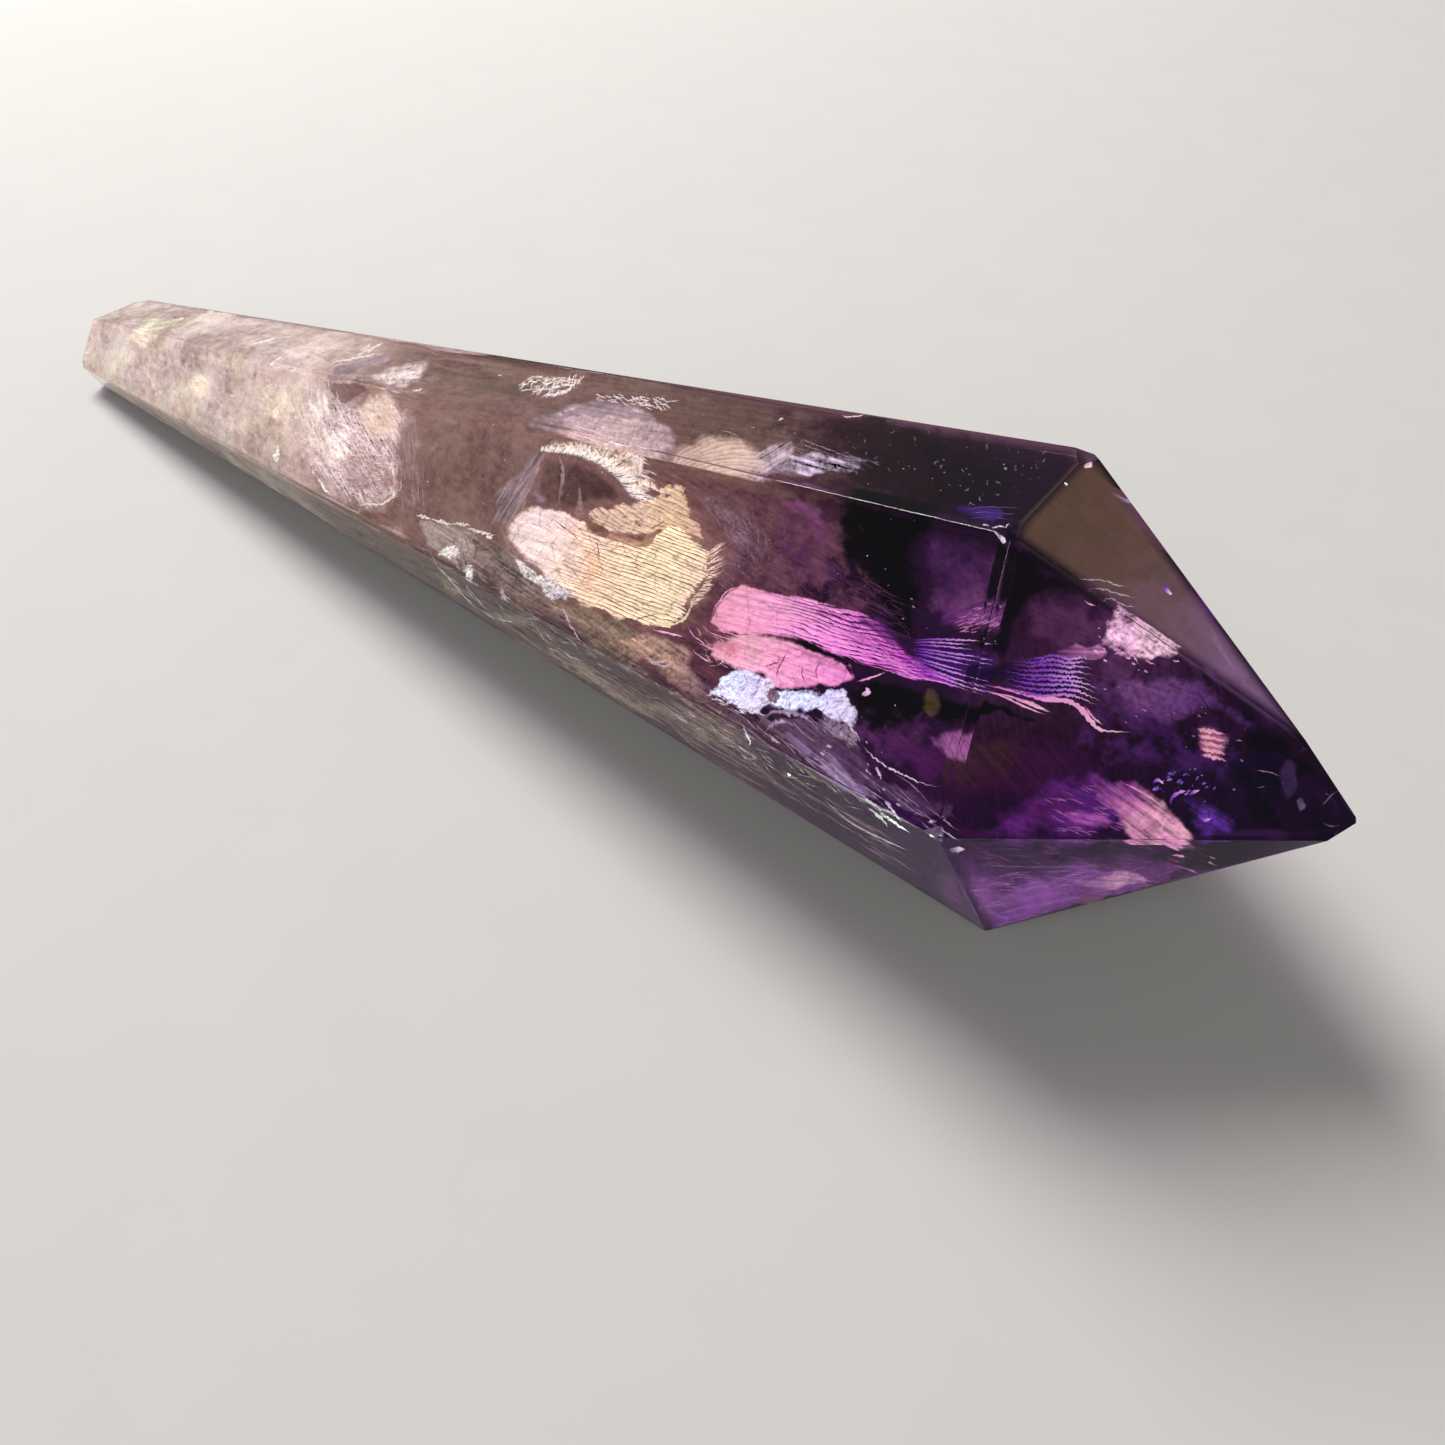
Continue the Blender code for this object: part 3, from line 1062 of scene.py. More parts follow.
frost_finish = veil_finish(
    "frost", [(0.0, (226, 224, 236)), (1.0, (250, 240, 234))], grit=0.1, brush=0, fray=0, fade=0.05,
    glow=1.2, cover=0.92, thin=0.42, thin_size=0.4, thin_soft=0.15)
dim_frost_finish = veil_finish(
    "dim frost", [(0.0, (176, 164, 184)), (1.0, (212, 200, 202))], fray=0.03, fade=0.08, cover=0.8)
soft_frost_finish = veil_finish(
    "soft frost", [(0.0, (140, 124, 142)), (1.0, (180, 166, 180))], soft=True, fray=0.2, fade=0.8,
    cover=0.7, brush=0.4)
dark_streak_finish = veil_finish(
    "dark streaks", [(0.0, (60, 40, 52)), (1.0, (74, 56, 62))], soft=True, fray=0.2, fade=0.9, cover=0.7,
    glow=0.8)
lilac_line_finish = veil_finish(
    "lilac lines", [(0.0, (76, 26, 118)), (0.35, (132, 70, 180)), (0.7, (204, 154, 228)),
    (1.0, (255, 232, 244))], grit=0.1, fray=0, fade=0.06, glow=1.35)
pink_line_finish = veil_finish(
    "pink lines", [(0.0, (200, 90, 190)), (0.4, (250, 176, 215)), (1.0, (255, 228, 222))], grit=0.1, fray=0,
    fade=0.06, glow=1.2)
peach_line_finish = veil_finish(
    "peach lines", [(0.0, (214, 150, 160)), (0.5, (250, 200, 190)), (1.0, (236, 176, 186))], grit=0.3,
    fray=0, fade=0.12, glow=1.2)
icy_finish = veil_finish(
    "icy veil", [(0.0, (222, 240, 255)), (0.35, (212, 226, 252)), (0.7, (202, 204, 230)),
    (1.0, (204, 202, 210))], mottle=0.2, grit=0.5, cracks=0.7, line_colour=tone(120, 104, 130),
    crack_size=1.4, fray=0.7, fade=0.3, thin=0.31, thin_size=1.2, thin_soft=0.15, folds=2.0, fold_size=0.9,
    bump=0.5, glow=1.7, shine=0.3)
teeth_finish = veil_finish(
    "arch body", [(0.0, (232, 216, 204)), (1.0, (240, 220, 202))], grit=0.8, brush=0.8, fray=0.5, fade=0.5,
    thin=0.46, thin_size=0.4, thin_soft=0.12, glow=1.1, cover=0.85)
shard_finish = veil_finish(
    "white shards", [(0.0, (206, 202, 208)), (0.5, (228, 224, 224)), (1.0, (190, 182, 196))], mottle=0.2,
    grit=0.8, cracks=0.7, line_colour=tone(110, 96, 98), crack_size=0.7, fray=0.9, fade=0.15, thin=0.38,
    thin_size=0.6, folds=4.0, bump=0.8, glow=1.3)
# Painted shade: a dark brown sheet where clear stone looks dark.
shade_finish = haze("shade", (84, 60, 58), (66, 46, 50), cover=0.9, glow=0.7, fade=0.3, fray=0.3)
# Painted shade: near-black sheets where the deep stone looks black.
dark_shade_finish = haze("night", (2, 1, 8), (8, 1, 18), cover=0.95, glow=0.1, mottle=0.1, fade=0.3)

print("finishes:", len(bpy.data.materials))

# %% [markdown]
# ## The cream veil
#
# The brightest thing in the stone: a sheet like rippled sand, pinkish at its butt end and
# yellow at the other, where its edge is combed into teeth. A darker cap lies over its upper
# side, two patches of painted shadow lie under the cap, and a bright lip breaks the veil. A smoky
# band of painted shadow runs below its lower edge.

# %% Cream veil
sheet("cream_veil", FRONT, "502,531 508,517 521,506 536,501 552,504 567,508 580,517 590,524 600,533 "
      "620,538 642,543 654,534 666,521 680,519 692,527 698,537 710,545 716,553 712,564 716,574 706,583 "
      "702,596 693,602 690,618 668,632 640,629 616,624 598,612 576,604 556,592 538,574 518,558 506,545",
      2.6, cream_finish, grain=21, lean=(0.5, 0.3))
mist("cream_smoke", FRONT, "478,534 492,506 520,488 556,494 590,506 700,484 740,520 764,560 736,604 "
     "700,634 650,652 590,630 540,604 500,572", 3.6, (196, 164, 164), (178, 146, 132), (128, 98, 96),
     cover=0.8, folds=2.0, grain=21)
sheet("cream_cap", FRONT, "580,518 584,506 598,501 620,499 640,496 654,494 658,483 668,479 682,482 "
      "694,489 693,504 704,520 716,540 707,549 690,542 668,531 656,536 646,543 630,540 608,536 594,530",
      2.2, cap_finish, grain=24)
strokes("cream_teeth", FRONT, barbs("cream teeth", "690,604 700,588 706,570 706,550", (10, 26), 46,
        (52, 58), swing=9), 1.5, 2.1, veil_finish("cream teeth",
        [(0.0, (255, 240, 206)), (1.0, (240, 214, 206))], fray=0, fade=0.08, glow=1.3), wobble=0.4)
hairs("lobe_creases", FRONT, "512,520 548,508 592,530 610,590 566,590 520,552", 70, 26, 28, 1.1, 2.0,
      thread("lobe crease", (204, 156, 150), (218, 174, 158), cover=0.5), swing=24)
# Painted shadow: a smoky brown band below the cream veil's lower edge.
mist("veil_melt_low", FRONT, "530,586 560,596 600,612 640,628 676,634 660,650 610,646 570,624 540,606", 1.8,
     (150, 126, 118), (176, 146, 124), (140, 112, 100), cover=0.8, grit=0.8, brush=0.8, fade=0.6, fray=0.5,
     grain=24)
mist("veil_melt_left", FRONT, "494,524 506,514 518,512 514,530 524,552 548,578 536,588 514,570 498,548",
     1.8, (140, 114, 110), (168, 140, 136), (120, 98, 94), cover=0.7, grit=0.8, fade=0.7, fray=0.5,
     grain=60)
mist("veil_fold", FRONT, "566,540 590,546 606,560 600,584 588,600 574,590 582,566", 2.0, (226, 180, 150),
     (214, 166, 136), cover=0.45, grit=0.8, fade=0.7, fray=0.6, grain=70)
strokes("veil_wrinkles", FRONT, "600,543 598,556 602,570 596,586 | 566,516 580,530 588,540 | 640,548 "
        "636,562 640,576 | 560,560 574,572 586,590 | 660,612 640,604 616,600", 1.8, 1.9,
        haze("veil wrinkle", (150, 98, 76), (176, 122, 92), cover=0.8, fade=0.7, fray=0.2), wobble=0.6)
# Painted shadows: two dark patches under the cream cap.
CAP_SHADOWS = {
    "left": "580,525 590,521 605,523 606,533 596,538 584,534",
    "right": "609,531 624,533 640,531 651,531 650,540 636,543 618,540",
}
for shadow_name, hole in CAP_SHADOWS.items():
    sheet(f"cream_hole_{shadow_name}", FRONT, hole, 2.0, haze(f"hole {shadow_name}", (134, 100, 84),
          (108, 78, 68), cover=0.85, fade=0.5, fray=0.5, grit=0.9), grain=20, relief=0.1)
strokes("cream_lip", FRONT, "702,588 694,598 690,609 684,619 672,624 656,623", (3, 7), 2.0,
        veil_finish("cream lip", [(0.0, (255, 246, 215)), (1.0, (255, 244, 190))], fray=0.1, fade=0.2,
        glow=1.15), wobble=0.5)
strokes("cream_tip_light", FRONT, "650,629 668,633 684,637 | 628,634 640,640 652,640", 3.0, 1.8,
        pink_line_finish)
strokes("cream_tip_dark", FRONT, "628,623 641,625 656,627 | 632,621 644,617 660,613 | 648,530 656,526 "
        "667,519 | 552,518 562,526 574,535 583,545 | 600,560 598,548 596,538", 1.6, 1.9,
        veil_finish("red cracks", [(0.0, (110, 50, 44)), (1.0, (150, 90, 70))], fray=0, fade=0.05))

# %% [markdown]
# ## The arch
#
# Above the cream veil a white crescent of tiny scales frays into teeth. Under it the stone
# is clear and dark; a sheet of painted shade gives that dark. A pale spike, two ribs and a grey
# sheaf lie beside it.

# %% Arch
ARCH = ("540,453 545,444 560,438 580,437 604,440 626,444 643,450 650,458 648,470 656,480 664,491 650,494 "
        "640,503 633,500 626,489 615,476 600,466 580,458 560,454")
# Painted shade under the crescent.
sheet("arch_shade", FRONT, "540,452 560,455 584,461 606,471 621,486 632,502 612,508 592,506 583,516 "
      "572,516 556,508 540,503 528,508 530,490 538,470", 3.2, shade_finish, relief=0.1)
sheet("arch_scales", FRONT, ARCH, 1.7, teeth_finish, grain=("fan", 582, 492), tearing=0.2, spacing=2.5)
ARCH_SPINE = "541,452 560,454 580,458 600,467 617,481 631,499"
strokes("arch_barbs", FRONT, barbs("arch barbs", ARCH_SPINE, (7, 30), 150, (-78, -42), swing=9), 1.5, 1.5,
        frost_finish, wobble=0.3)
strokes("arch_scale_ticks", FRONT, hatching("arch ticks", "545,447 580,440 630,446 648,462 634,478 "
        "592,458 560,452", 70, 6, 78, swing=25), 1.2, 1.4, dim_frost_finish, wobble=0.2)
hairs("arch_fringe", FRONT, "632,450 646,456 650,470 662,490 640,492 628,474", 26, 18, 24, 1.4, 1.3,
      frost_finish, swing=8, wobble=0.2)
strokes("arch_spikes", FRONT, "580,518 580,500 579,481", (17, 2), 2.0, haze("spike", (150, 122, 118),
        (178, 152, 146), cover=0.85, fray=0.1), wobble=0.3)
strokes("arch_ribs", FRONT, "558,508 561,490 563,470 558,452 | 520,522 524,504 530,486 538,466 540,452",
        5.0, 2.0, haze("rib", (150, 124, 126), (180, 154, 154), cover=0.8, fray=0.1), wobble=0.4)
sheet("grey_sheaf", FRONT, "484,526 490,500 502,480 520,460 541,444 550,456 536,482 526,508 512,528", 1.6,
      haze("sheaf", (132, 112, 116), (150, 132, 140), (138, 118, 126), cover=0.8, brush=1.0, fade=0.25,
      fray=0.3), grain=-58)
hairs("sheaf_hairs", FRONT, "492,515 505,482 540,450 536,480 512,522", 26, 26, -60, 1.3, 1.4,
      soft_frost_finish, swing=8)
mist("lilac_puff", FRONT, "530,490 540,486 549,494 550,506 538,508 531,500", 1.9, (178, 162, 182),
     (160, 142, 166), cover=0.7, fade=0.9, fray=0.6, relief=0.1)

# %% [markdown]
# ## Magenta and salmon veils
#
# Beside the cream one a magenta veil fans out from a point at the girdle. It turns violet
# there and goes on as bright lines. A salmon one hangs below it, with white squiggles.

# %% Magenta and salmon veils
sheet("magenta_veil", FRONT, "978,694 955,676 925,662 908,652 893,634 878,618 855,607 830,601 800,593 "
      "772,590 754,585 740,582 728,588 718,600 710,612 706,624 716,631 738,637 768,638 792,640 815,648 "
      "838,657 866,666 893,675 914,684 940,686 960,692", 3.0, magenta_finish, grain=14, lean=(0.4, 0.2),
      tearing=0.07)
mist("magenta_dusk", FRONT, "846,604 880,612 900,632 914,654 900,654 880,642 858,628 836,614", 2.6,
     (110, 44, 116), (60, 20, 80), cover=0.75, grain=40)
hairs("magenta_net", FRONT, "790,600 850,609 898,634 926,668 890,658 840,634", 80, 34, 30, 1.3, 2.7,
      thread("magenta net", (150, 56, 136), (92, 24, 108), cover=0.6, glow=0.8), swing=12)
hairs("magenta_shine", FRONT, "770,614 830,622 880,650 930,680 860,662 800,640", 60, 40, 24, 1.2, 2.6,
      thread("magenta shine", (255, 196, 236), (240, 140, 228), cover=0.6), swing=7)
hairs("magenta_rungs", FRONT, "738,592 770,600 808,606 800,628 768,620 742,612", 24, 17, 128, 1.6, 2.6,
      veil_finish("rung shadow", [(0.0, (130, 40, 96)), (1.0, (100, 26, 90))], fray=0.05, fade=0.12,
      glow=0.8, cover=0.85), swing=12)
hairs("magenta_hairs", FRONT, "725,602 760,604 800,626 840,640 800,634 740,628", 30, 24, 20, 1.2, 2.5,
      pink_line_finish, swing=9)
strokes("magenta_rim", FRONT, "708,628 724,632 742,636 760,634 | 709,622 716,606 728,591 741,586 | "
        "752,600 745,612 744,626 | 845,660 880,668 905,676 930,680 955,686 974,693", 1.8, 2.3,
        pink_line_finish, wobble=0.5)
sheet("salmon_veil", FRONT, "712,640 738,632 762,632 782,636 804,643 826,652 848,660 862,680 842,688 "
      "812,690 790,693 770,692 762,676 742,676 726,668 706,660", 2.4, salmon_finish, grain=20, tearing=0.08)
hairs("salmon_grain", FRONT, "716,644 780,640 846,664 846,684 780,688 740,670", 60, 26, 18, 1.2, 2.2,
      thread("salmon grain", (198, 104, 138), (170, 76, 130), cover=0.45), swing=16)
mist("salmon_fringe", FRONT, "688,640 706,636 724,634 744,638 748,652 742,668 724,666 704,656", 2.2,
     (206, 142, 152), (180, 108, 132), cover=0.6, fade=0.7, grain=30)
strokes("salmon_squiggles", FRONT, "686,622 692,634 702,642 708,650 | 692,640 706,646 718,652 724,660 | "
        "704,652 712,648 721,652 722,662 714,666 | 728,641 724,650 722,656 | 741,644 738,656 735,668 | "
        "700,628 714,634 730,639 746,641 | 764,642 768,652 764,662 766,674 | 690,648 700,656 712,664", 1.7,
        1.9, pink_line_finish, wobble=0.5)
hairs("salmon_hooks", FRONT, "690,622 722,634 748,644 744,668 716,668 696,650", 34, 15, 40, 1.5, 2.0,
      peach_line_finish, swing=40, wobble=0.5)
strokes("salmon_cracks", FRONT, "790,646 784,658 778,670 776,684 | 803,664 802,674 806,684 | 822,660 "
        "816,670 818,682 | 782,662 772,664 762,668 | 842,664 849,671 853,679", 1.8, 2.0,
        veil_finish("plum cracks", [(0.0, (110, 30, 80)), (1.0, (130, 50, 100))], fray=0, fade=0.05))
# Painted shade: a near-black gap between the magenta and salmon veils.
sheet("salmon_gap", FRONT, "778,637 800,641 824,650 846,660 858,675 850,676 836,662 812,653 790,643", 2.1,
      dark_shade_finish, relief=0.05)

# %% [markdown]
# ## Violet lines
#
# The magenta veil goes on past the girdle edge as a bundle of bright lines that fan out to
# the right. The largest point flat shows the same bundle again, bent by its other slope.

# %% Violet lines
mist("violet_wing", FRONT, "904,632 940,630 1012,628 1008,660 1000,704 951,692 921,680 904,660", 3.6,
     (34, 6, 62), (66, 26, 104), cover=0.8, grain=12)
strokes("violet_lines", FRONT, fan_of_lines("violet lines", "908,640 930,637 958,637 988,638",
        "906,662 925,672 950,683 977,693", 10), 2.6, 2.8, lilac_line_finish, wobble=0.35)
strokes("wavy_lines", POINT, fan_of_lines("wavy lines", "1004,655 1033,657 1054,653 1068,657 1081,655 "
        "1098,657", "988,682 1015,692 1040,697 1066,696 1082,700 1108,713", 9, ragged=0.1), 3.7, 2.2,
        lilac_line_finish, wobble=0.8)
mist("wavy_backing", POINT, "956,655 1010,650 1054,652 1084,664 1096,690 1064,702 1020,698 950,686", 3.0,
     (18, 4, 36), (36, 12, 64), (26, 6, 48), cover=0.8, grain=10)
strokes("pink_band", POINT, "978,684 1010,690 1040,698 1066,701 1080,708 1090,720 1102,730 1132,732", 6.5,
        2.4, pink_line_finish, wobble=0.6)
strokes("pink_band_tails", POINT, "976,689 1000,695 1023,706 1046,715 | 990,692 1012,697 1034,706 "
        "1052,713 | 1014,698 1032,703 1050,712 | 1084,704 1092,716 1104,726", 3.0, 2.2, pink_line_finish)

# %% [markdown]
# ## The icy crack and the shelly breaks under it
#
# Below the salmon veil an icy crack has two lobes and a bead-like white rim that runs down
# to the girdle. Under it the stone is full of shelly breaks: arcs, shards and glints.

# %% Icy crack
sheet("icy_left", FRONT, "704,694 714,680 726,672 742,666 758,669 773,674 778,690 774,706 760,718 742,714 "
      "728,706 714,700", 1.2, icy_finish, grain=10, tearing=0.25)
sheet("icy_right", FRONT, "766,684 788,682 806,685 822,687 840,685 854,697 862,714 858,730 840,727 "
      "822,719 802,714 780,713 764,708", 1.1, icy_finish, grain=10, tearing=0.25)
sheet("icy_grit", FRONT, "818,700 846,700 856,722 862,748 848,752 832,740 818,724", 1.3,
      veil_finish("icy grit", [(0.0, (120, 106, 124)), (1.0, (160, 152, 156))], grit=0.8, thin=0.42,
      thin_size=0.5, fray=0.5, fade=0.4, cover=0.8), grain=60)
mist("icy_notch", FRONT, "768,686 778,686 782,696 778,706 770,704 766,694", 0.9, (104, 60, 76),
     (84, 48, 66), cover=0.85, fade=0.2, fray=0.3, relief=0.05, spacing=2.0)
hairs("icy_spikes", FRONT, "704,690 738,698 766,706 764,716 740,712 716,702", 30, 12, 24, 1.4, 0.8,
      frost_finish, swing=16)
strokes("icy_rim", FRONT, "714,692 726,694 738,700 | 738,700 750,712 762,708 | 846,708 851,718 850,726 "
        "856,734 861,744 | 860,742 868,752 878,761 892,769 908,777 924,784 942,787", 2.4, 0.7, frost_finish,
        wobble=0.9, taper=0.4)
strokes("shell_arcs", FRONT, "756,728 764,717 780,711 800,715 816,727 829,746 | 762,740 770,726 784,722 "
        "802,728", 9.0, 0.9, haze("shell arcs", (150, 132, 160), (188, 174, 202), cover=0.8, fade=0.7,
        fray=0.1, brush=0.9), wobble=0.8, taper=0.5)
mist("shell_shard", FRONT, "810,754 822,756 838,765 854,777 870,789 886,803 876,804 856,796 838,785 "
     "822,770", 1.5, (162, 150, 176), (128, 108, 138), cover=0.9, brush=1.2, fade=0.3, fray=0.4, grain=40)
strokes("shell_shards", FRONT, "768,733 774,740 781,745 | 846,788 862,796 874,806 888,814 | 742,722 "
        "746,736 744,748 | 860,806 874,816 884,828", 5.0, 1.3, dim_frost_finish, wobble=0.8, taper=0.5)
strokes("shell_glints", FRONT, "876,766 879,773 882,780 | 884,800 892,810 900,823 | 876,812 890,822 "
        "908,834 | 928,834 934,837 | 784,774 788,776", 3.2, 0.8, frost_finish, wobble=0.6)
shell_puff_finish = haze(
    "shell puff", (118, 100, 128), (146, 130, 160), cover=0.5, brush=1.2, fade=0.4, fray=0.3)
SHELL = "706,692 740,714 800,714 850,730 874,760 910,786 950,806 948,832 918,834 860,800 790,760 728,722"
hairs("shell_lines", FRONT, SHELL, 34, 50, 38, 2.4, 1.0, soft_frost_finish, swing=6)
hairs("shell_dark_lines", FRONT, SHELL, 26, 56, 38, 3.6, 1.1, dark_streak_finish, swing=7)
hairs("shell_sparks", FRONT, "770,745 850,770 925,825 900,832 830,795", 20, 14, 46, 1.4, 0.8,
      dim_frost_finish, swing=12)
SHELL_PUFFS = [
    (790, 740, 24),
    (832, 764, 20),
    (858, 792, 16),
    (760, 716, 14),
    (940, 838, 18),
    (906, 806, 12),
]
for puff_number, (puff_x, puff_y, puff_reach) in enumerate(SHELL_PUFFS, 1):
    sheet(f"shell_puff_{puff_number}", FRONT, [(puff_x - puff_reach, puff_y - puff_reach * 0.6),
          (puff_x, puff_y - puff_reach * 0.5), (puff_x + puff_reach, puff_y + puff_reach * 0.4),
          (puff_x + puff_reach * 1.1, puff_y + puff_reach * 0.9), (puff_x, puff_y + puff_reach * 0.5)], 1.3,
          shell_puff_finish, grain=38)
mist("shell_haze", FRONT, "706,690 740,712 800,712 850,728 870,758 905,784 948,800 950,826 918,826 "
     "860,792 790,754 728,718", 2.4, (112, 90, 104), (96, 76, 100), (82, 56, 88), cover=0.94, brush=0.6,
     folds=3.0, fold_size=2.2, fade=0.2, fray=0.25, grain=37)
# Painted highlight: a small white glint.
sheet("white_diamond", FRONT, "920,822 930,814 940,817 936,827 926,831", 0.8, shard_finish, relief=0.05,
      spacing=2.0)
mist("grey_lens", FRONT, "914,838 926,828 944,824 960,828 972,838", 0.6, (124, 114, 122), (100, 88, 104),
     fade=0.2, fray=0.2)

# %% [markdown]
# ## Smoke
#
# The clear parts are never even. Patchy smoke, lighter and darker than the ground, hangs
# at different depths, with holes where its noise is thin.

# %% Smoke
SMOKE = [
    (FRONT, "380,400 560,445 520,560 400,520", 3.0, 80, [(146, 117, 113), (126, 97, 94)]),
    (FRONT, "640,440 860,492 900,640 700,600", 3.4, 30, [(128, 100, 98), (104, 64, 84)]),
    (FRONT, "700,470 930,520 910,680 720,580", 4.0, 35, [(56, 28, 48), (18, 4, 24)]),
    (FRONT, "820,700 960,700 950,830 860,790", 2.8, 35, [(96, 56, 100), (70, 28, 76)]),
    (TOP, "430,350 820,414 800,470 440,396", 2.4, 9, [(142, 122, 112), (112, 92, 84)]),
    (TOP, "820,410 1070,446 1010,525 850,496", 2.2, 9, [(34, 18, 26), (32, 16, 36)]),
    (POINT, "1010,560 1200,660 1240,760 1010,720", 3.2, 30, [(84, 50, 84), (104, 64, 104)]),
    (POINT, "1060,640 1340,780 1330,840 1040,800", 3.0, 25, [(92, 50, 110), (60, 24, 84)]),
    (POINT, "1000,560 1300,720 1350,830 1100,760", 3.6, 40, [(22, 4, 28), (16, 0, 24)]),
    (LOW_POINT, "1160,840 1340,838 1290,862 1150,892", 0.8, 0, [(26, 8, 30), (20, 4, 26)]),
    (LOW_POINT, "950,840 1300,845 1100,900 980,920", 1.3, 5, [(60, 26, 70), (44, 16, 50)]),
    (LOW_POINT, "960,860 1200,850 1120,900 980,926", 1.1, 5, [(150, 96, 160), (168, 110, 170)]),
]
for number, (smoke_window, smoke_outline, smoke_depth, smoke_grain, smoke_colours) in enumerate(SMOKE, 1):
    sheet(f"smoke_{number:02d}", smoke_window, smoke_outline, smoke_depth, haze(f"smoke {number}",
          *smoke_colours, cover=0.8, thin=0.5, thin_size=3.0, thin_soft=0.1), grain=smoke_grain,
          spacing=6.0)

# %% [markdown]
# ## The lower strip of the upper front flat
#
# Along the lower edge the stone is brownish and full of rock-like clouds. A white ragged
# crack line, grey shards and a band of crushed white lie at its butt end.

# %% Rock clouds and crushed white
ROCK = {
    "grey": ("400,528 430,522 470,528 505,540 524,552 542,572 562,596 582,612 600,644 560,628 520,608 "
        "480,588 440,564", 1.9, [(150, 136, 132), (122, 108, 106), (138, 124, 118)]),
    "olive": ("556,596 590,598 622,614 648,632 642,650 654,676 706,708 660,694 610,664 572,634", 1.7,
        [(130, 116, 100), (110, 98, 86), (136, 120, 104)]),
    "beige": ("608,626 650,628 686,638 698,652 694,668 708,690 730,718 700,706 664,684 632,656", 1.6,
        [(200, 166, 144), (166, 140, 124), (124, 98, 100)]),
    "dusk": ("660,694 692,664 716,684 748,708 796,744 840,778 860,800 790,764 720,728", 1.8,
        [(92, 70, 80), (78, 54, 72)]),
}
for rock_name, (rock_outline, rock_depth, rock_colours) in ROCK.items():
    mist(f"rock_{rock_name}", FRONT, rock_outline, rock_depth, *rock_colours, cover=0.92, fade=0.3,
         fray=0.3, mottle=0.3, brush=0.8, grit=0.6, folds=2.6, fold_size=1.3, cracks=0.4, crack_size=1.8,
         line_colour=tone(56, 42, 44), grain=34)
mist("grey_glass", FRONT, "412,524 420,515 446,522 474,527 482,536 466,543 448,546 438,557 424,548", 1.3,
     (178, 162, 160), (158, 142, 142), cover=0.85, fade=0.35, fray=0.15, folds=0.8, grain=30)
mist("grey_plume", FRONT, "452,528 478,534 486,548 478,566 486,584 476,604 464,590 452,572 444,552", 1.4,
     (176, 164, 162), (140, 126, 126), (110, 94, 94), cover=0.85, fade=0.35, fray=0.5, grit=1.0, brush=1.0,
     thin=0.38, thin_size=0.9, thin_soft=0.2, grain=70)
mist("rock_pale", FRONT, "574,606 604,612 630,632 650,652 640,664 612,650 586,630", 1.3, (150, 132, 116),
     (170, 146, 128), cover=0.7, fade=0.4, fray=0.5, grit=1.0, brush=0.8, thin=0.42, thin_size=0.9,
     thin_soft=0.2, grain=40)
ROCK_STRIP = "404,536 480,574 600,640 740,728 870,806 884,828 760,770 600,680 480,612"
hairs("rock_streaks", FRONT, ROCK_STRIP, 70, 64, 33, 2.6, 0.9, dark_streak_finish, swing=4)
hairs("rock_veins", FRONT, ROCK_STRIP, 80, 22, 35, 1.6, 1.0, soft_frost_finish, swing=30)
strokes("rock_bands", FRONT, "520,584 560,604 600,632 640,656 | 590,640 650,678 700,712 750,744 | 640,650 "
        "690,682 740,716 | 470,566 510,592 550,622 | 770,752 820,782 860,812", 8.0, 1.2, haze("rock band",
        (140, 122, 112), (160, 140, 124), (120, 98, 100), cover=0.7, fade=0.8, fray=0.3, grit=0.9,
        brush=0.9), wobble=2.0, taper=0.5)
sheet("crushed_white", FRONT, "512,552 524,556 532,566 546,574 560,580 574,588 573,598 566,606 554,604 "
      "542,594 530,584 518,570", 1.2, shard_finish, grain=40, tearing=0.3, spacing=2.5)
sheet("shard_left", FRONT, "434,556 442,545 452,542 462,548 458,561 447,562", 1.0, shard_finish,
      spacing=2.5)
sheet("shard_middle", FRONT, "459,570 466,562 475,563 477,575 470,586 462,580", 1.1, shard_finish,
      spacing=2.5)
sheet("shard_right", FRONT, "476,534 486,531 497,534 495,542 484,543", 0.9, shard_finish, spacing=2.5)
strokes("frost_line", FRONT, "416,515 424,517 432,519 | 430,518 438,521 446,523 454,524 | 452,523 462,524 "
        "470,526 | 466,528 474,530 484,533 496,535", 4.2, 0.6, frost_finish, wobble=1.0, taper=0.5)
strokes("frost_trail", FRONT, "560,604 566,614 570,626 | 566,622 574,630 580,642 | 500,584 504,594 "
        "512,602 | 646,660 662,666 672,664 | 640,656 656,662 668,660 | 498,588 503,596 508,602", 3.0, 0.9,
        dim_frost_finish, wobble=0.8)
strokes("rock_cracks", FRONT, "460,546 457,558 462,570 461,582 | 440,562 452,566 462,576 | 470,532 "
        "476,546 474,560 | 469,566 466,576 470,584", 1.8, 0.9, veil_finish("rock cracks",
        [(0.0, (70, 50, 52)), (1.0, (90, 70, 68))], fray=0.05, fade=0.08))
mist("rock_dark", FRONT, "476,562 494,564 506,586 496,600 480,588", 1.2, (70, 50, 54), (80, 60, 62),
     cover=0.8, fade=0.8, fray=0.6, relief=0.1)

# %% [markdown]
# ## Clouds in the right half
#
# Between the bright veils the stone goes from brown smoke over plum to nearly black at the
# girdle, where near-black sheets of painted shade lie, with a violet cloud against the edge and a
# dark red window under the lines.

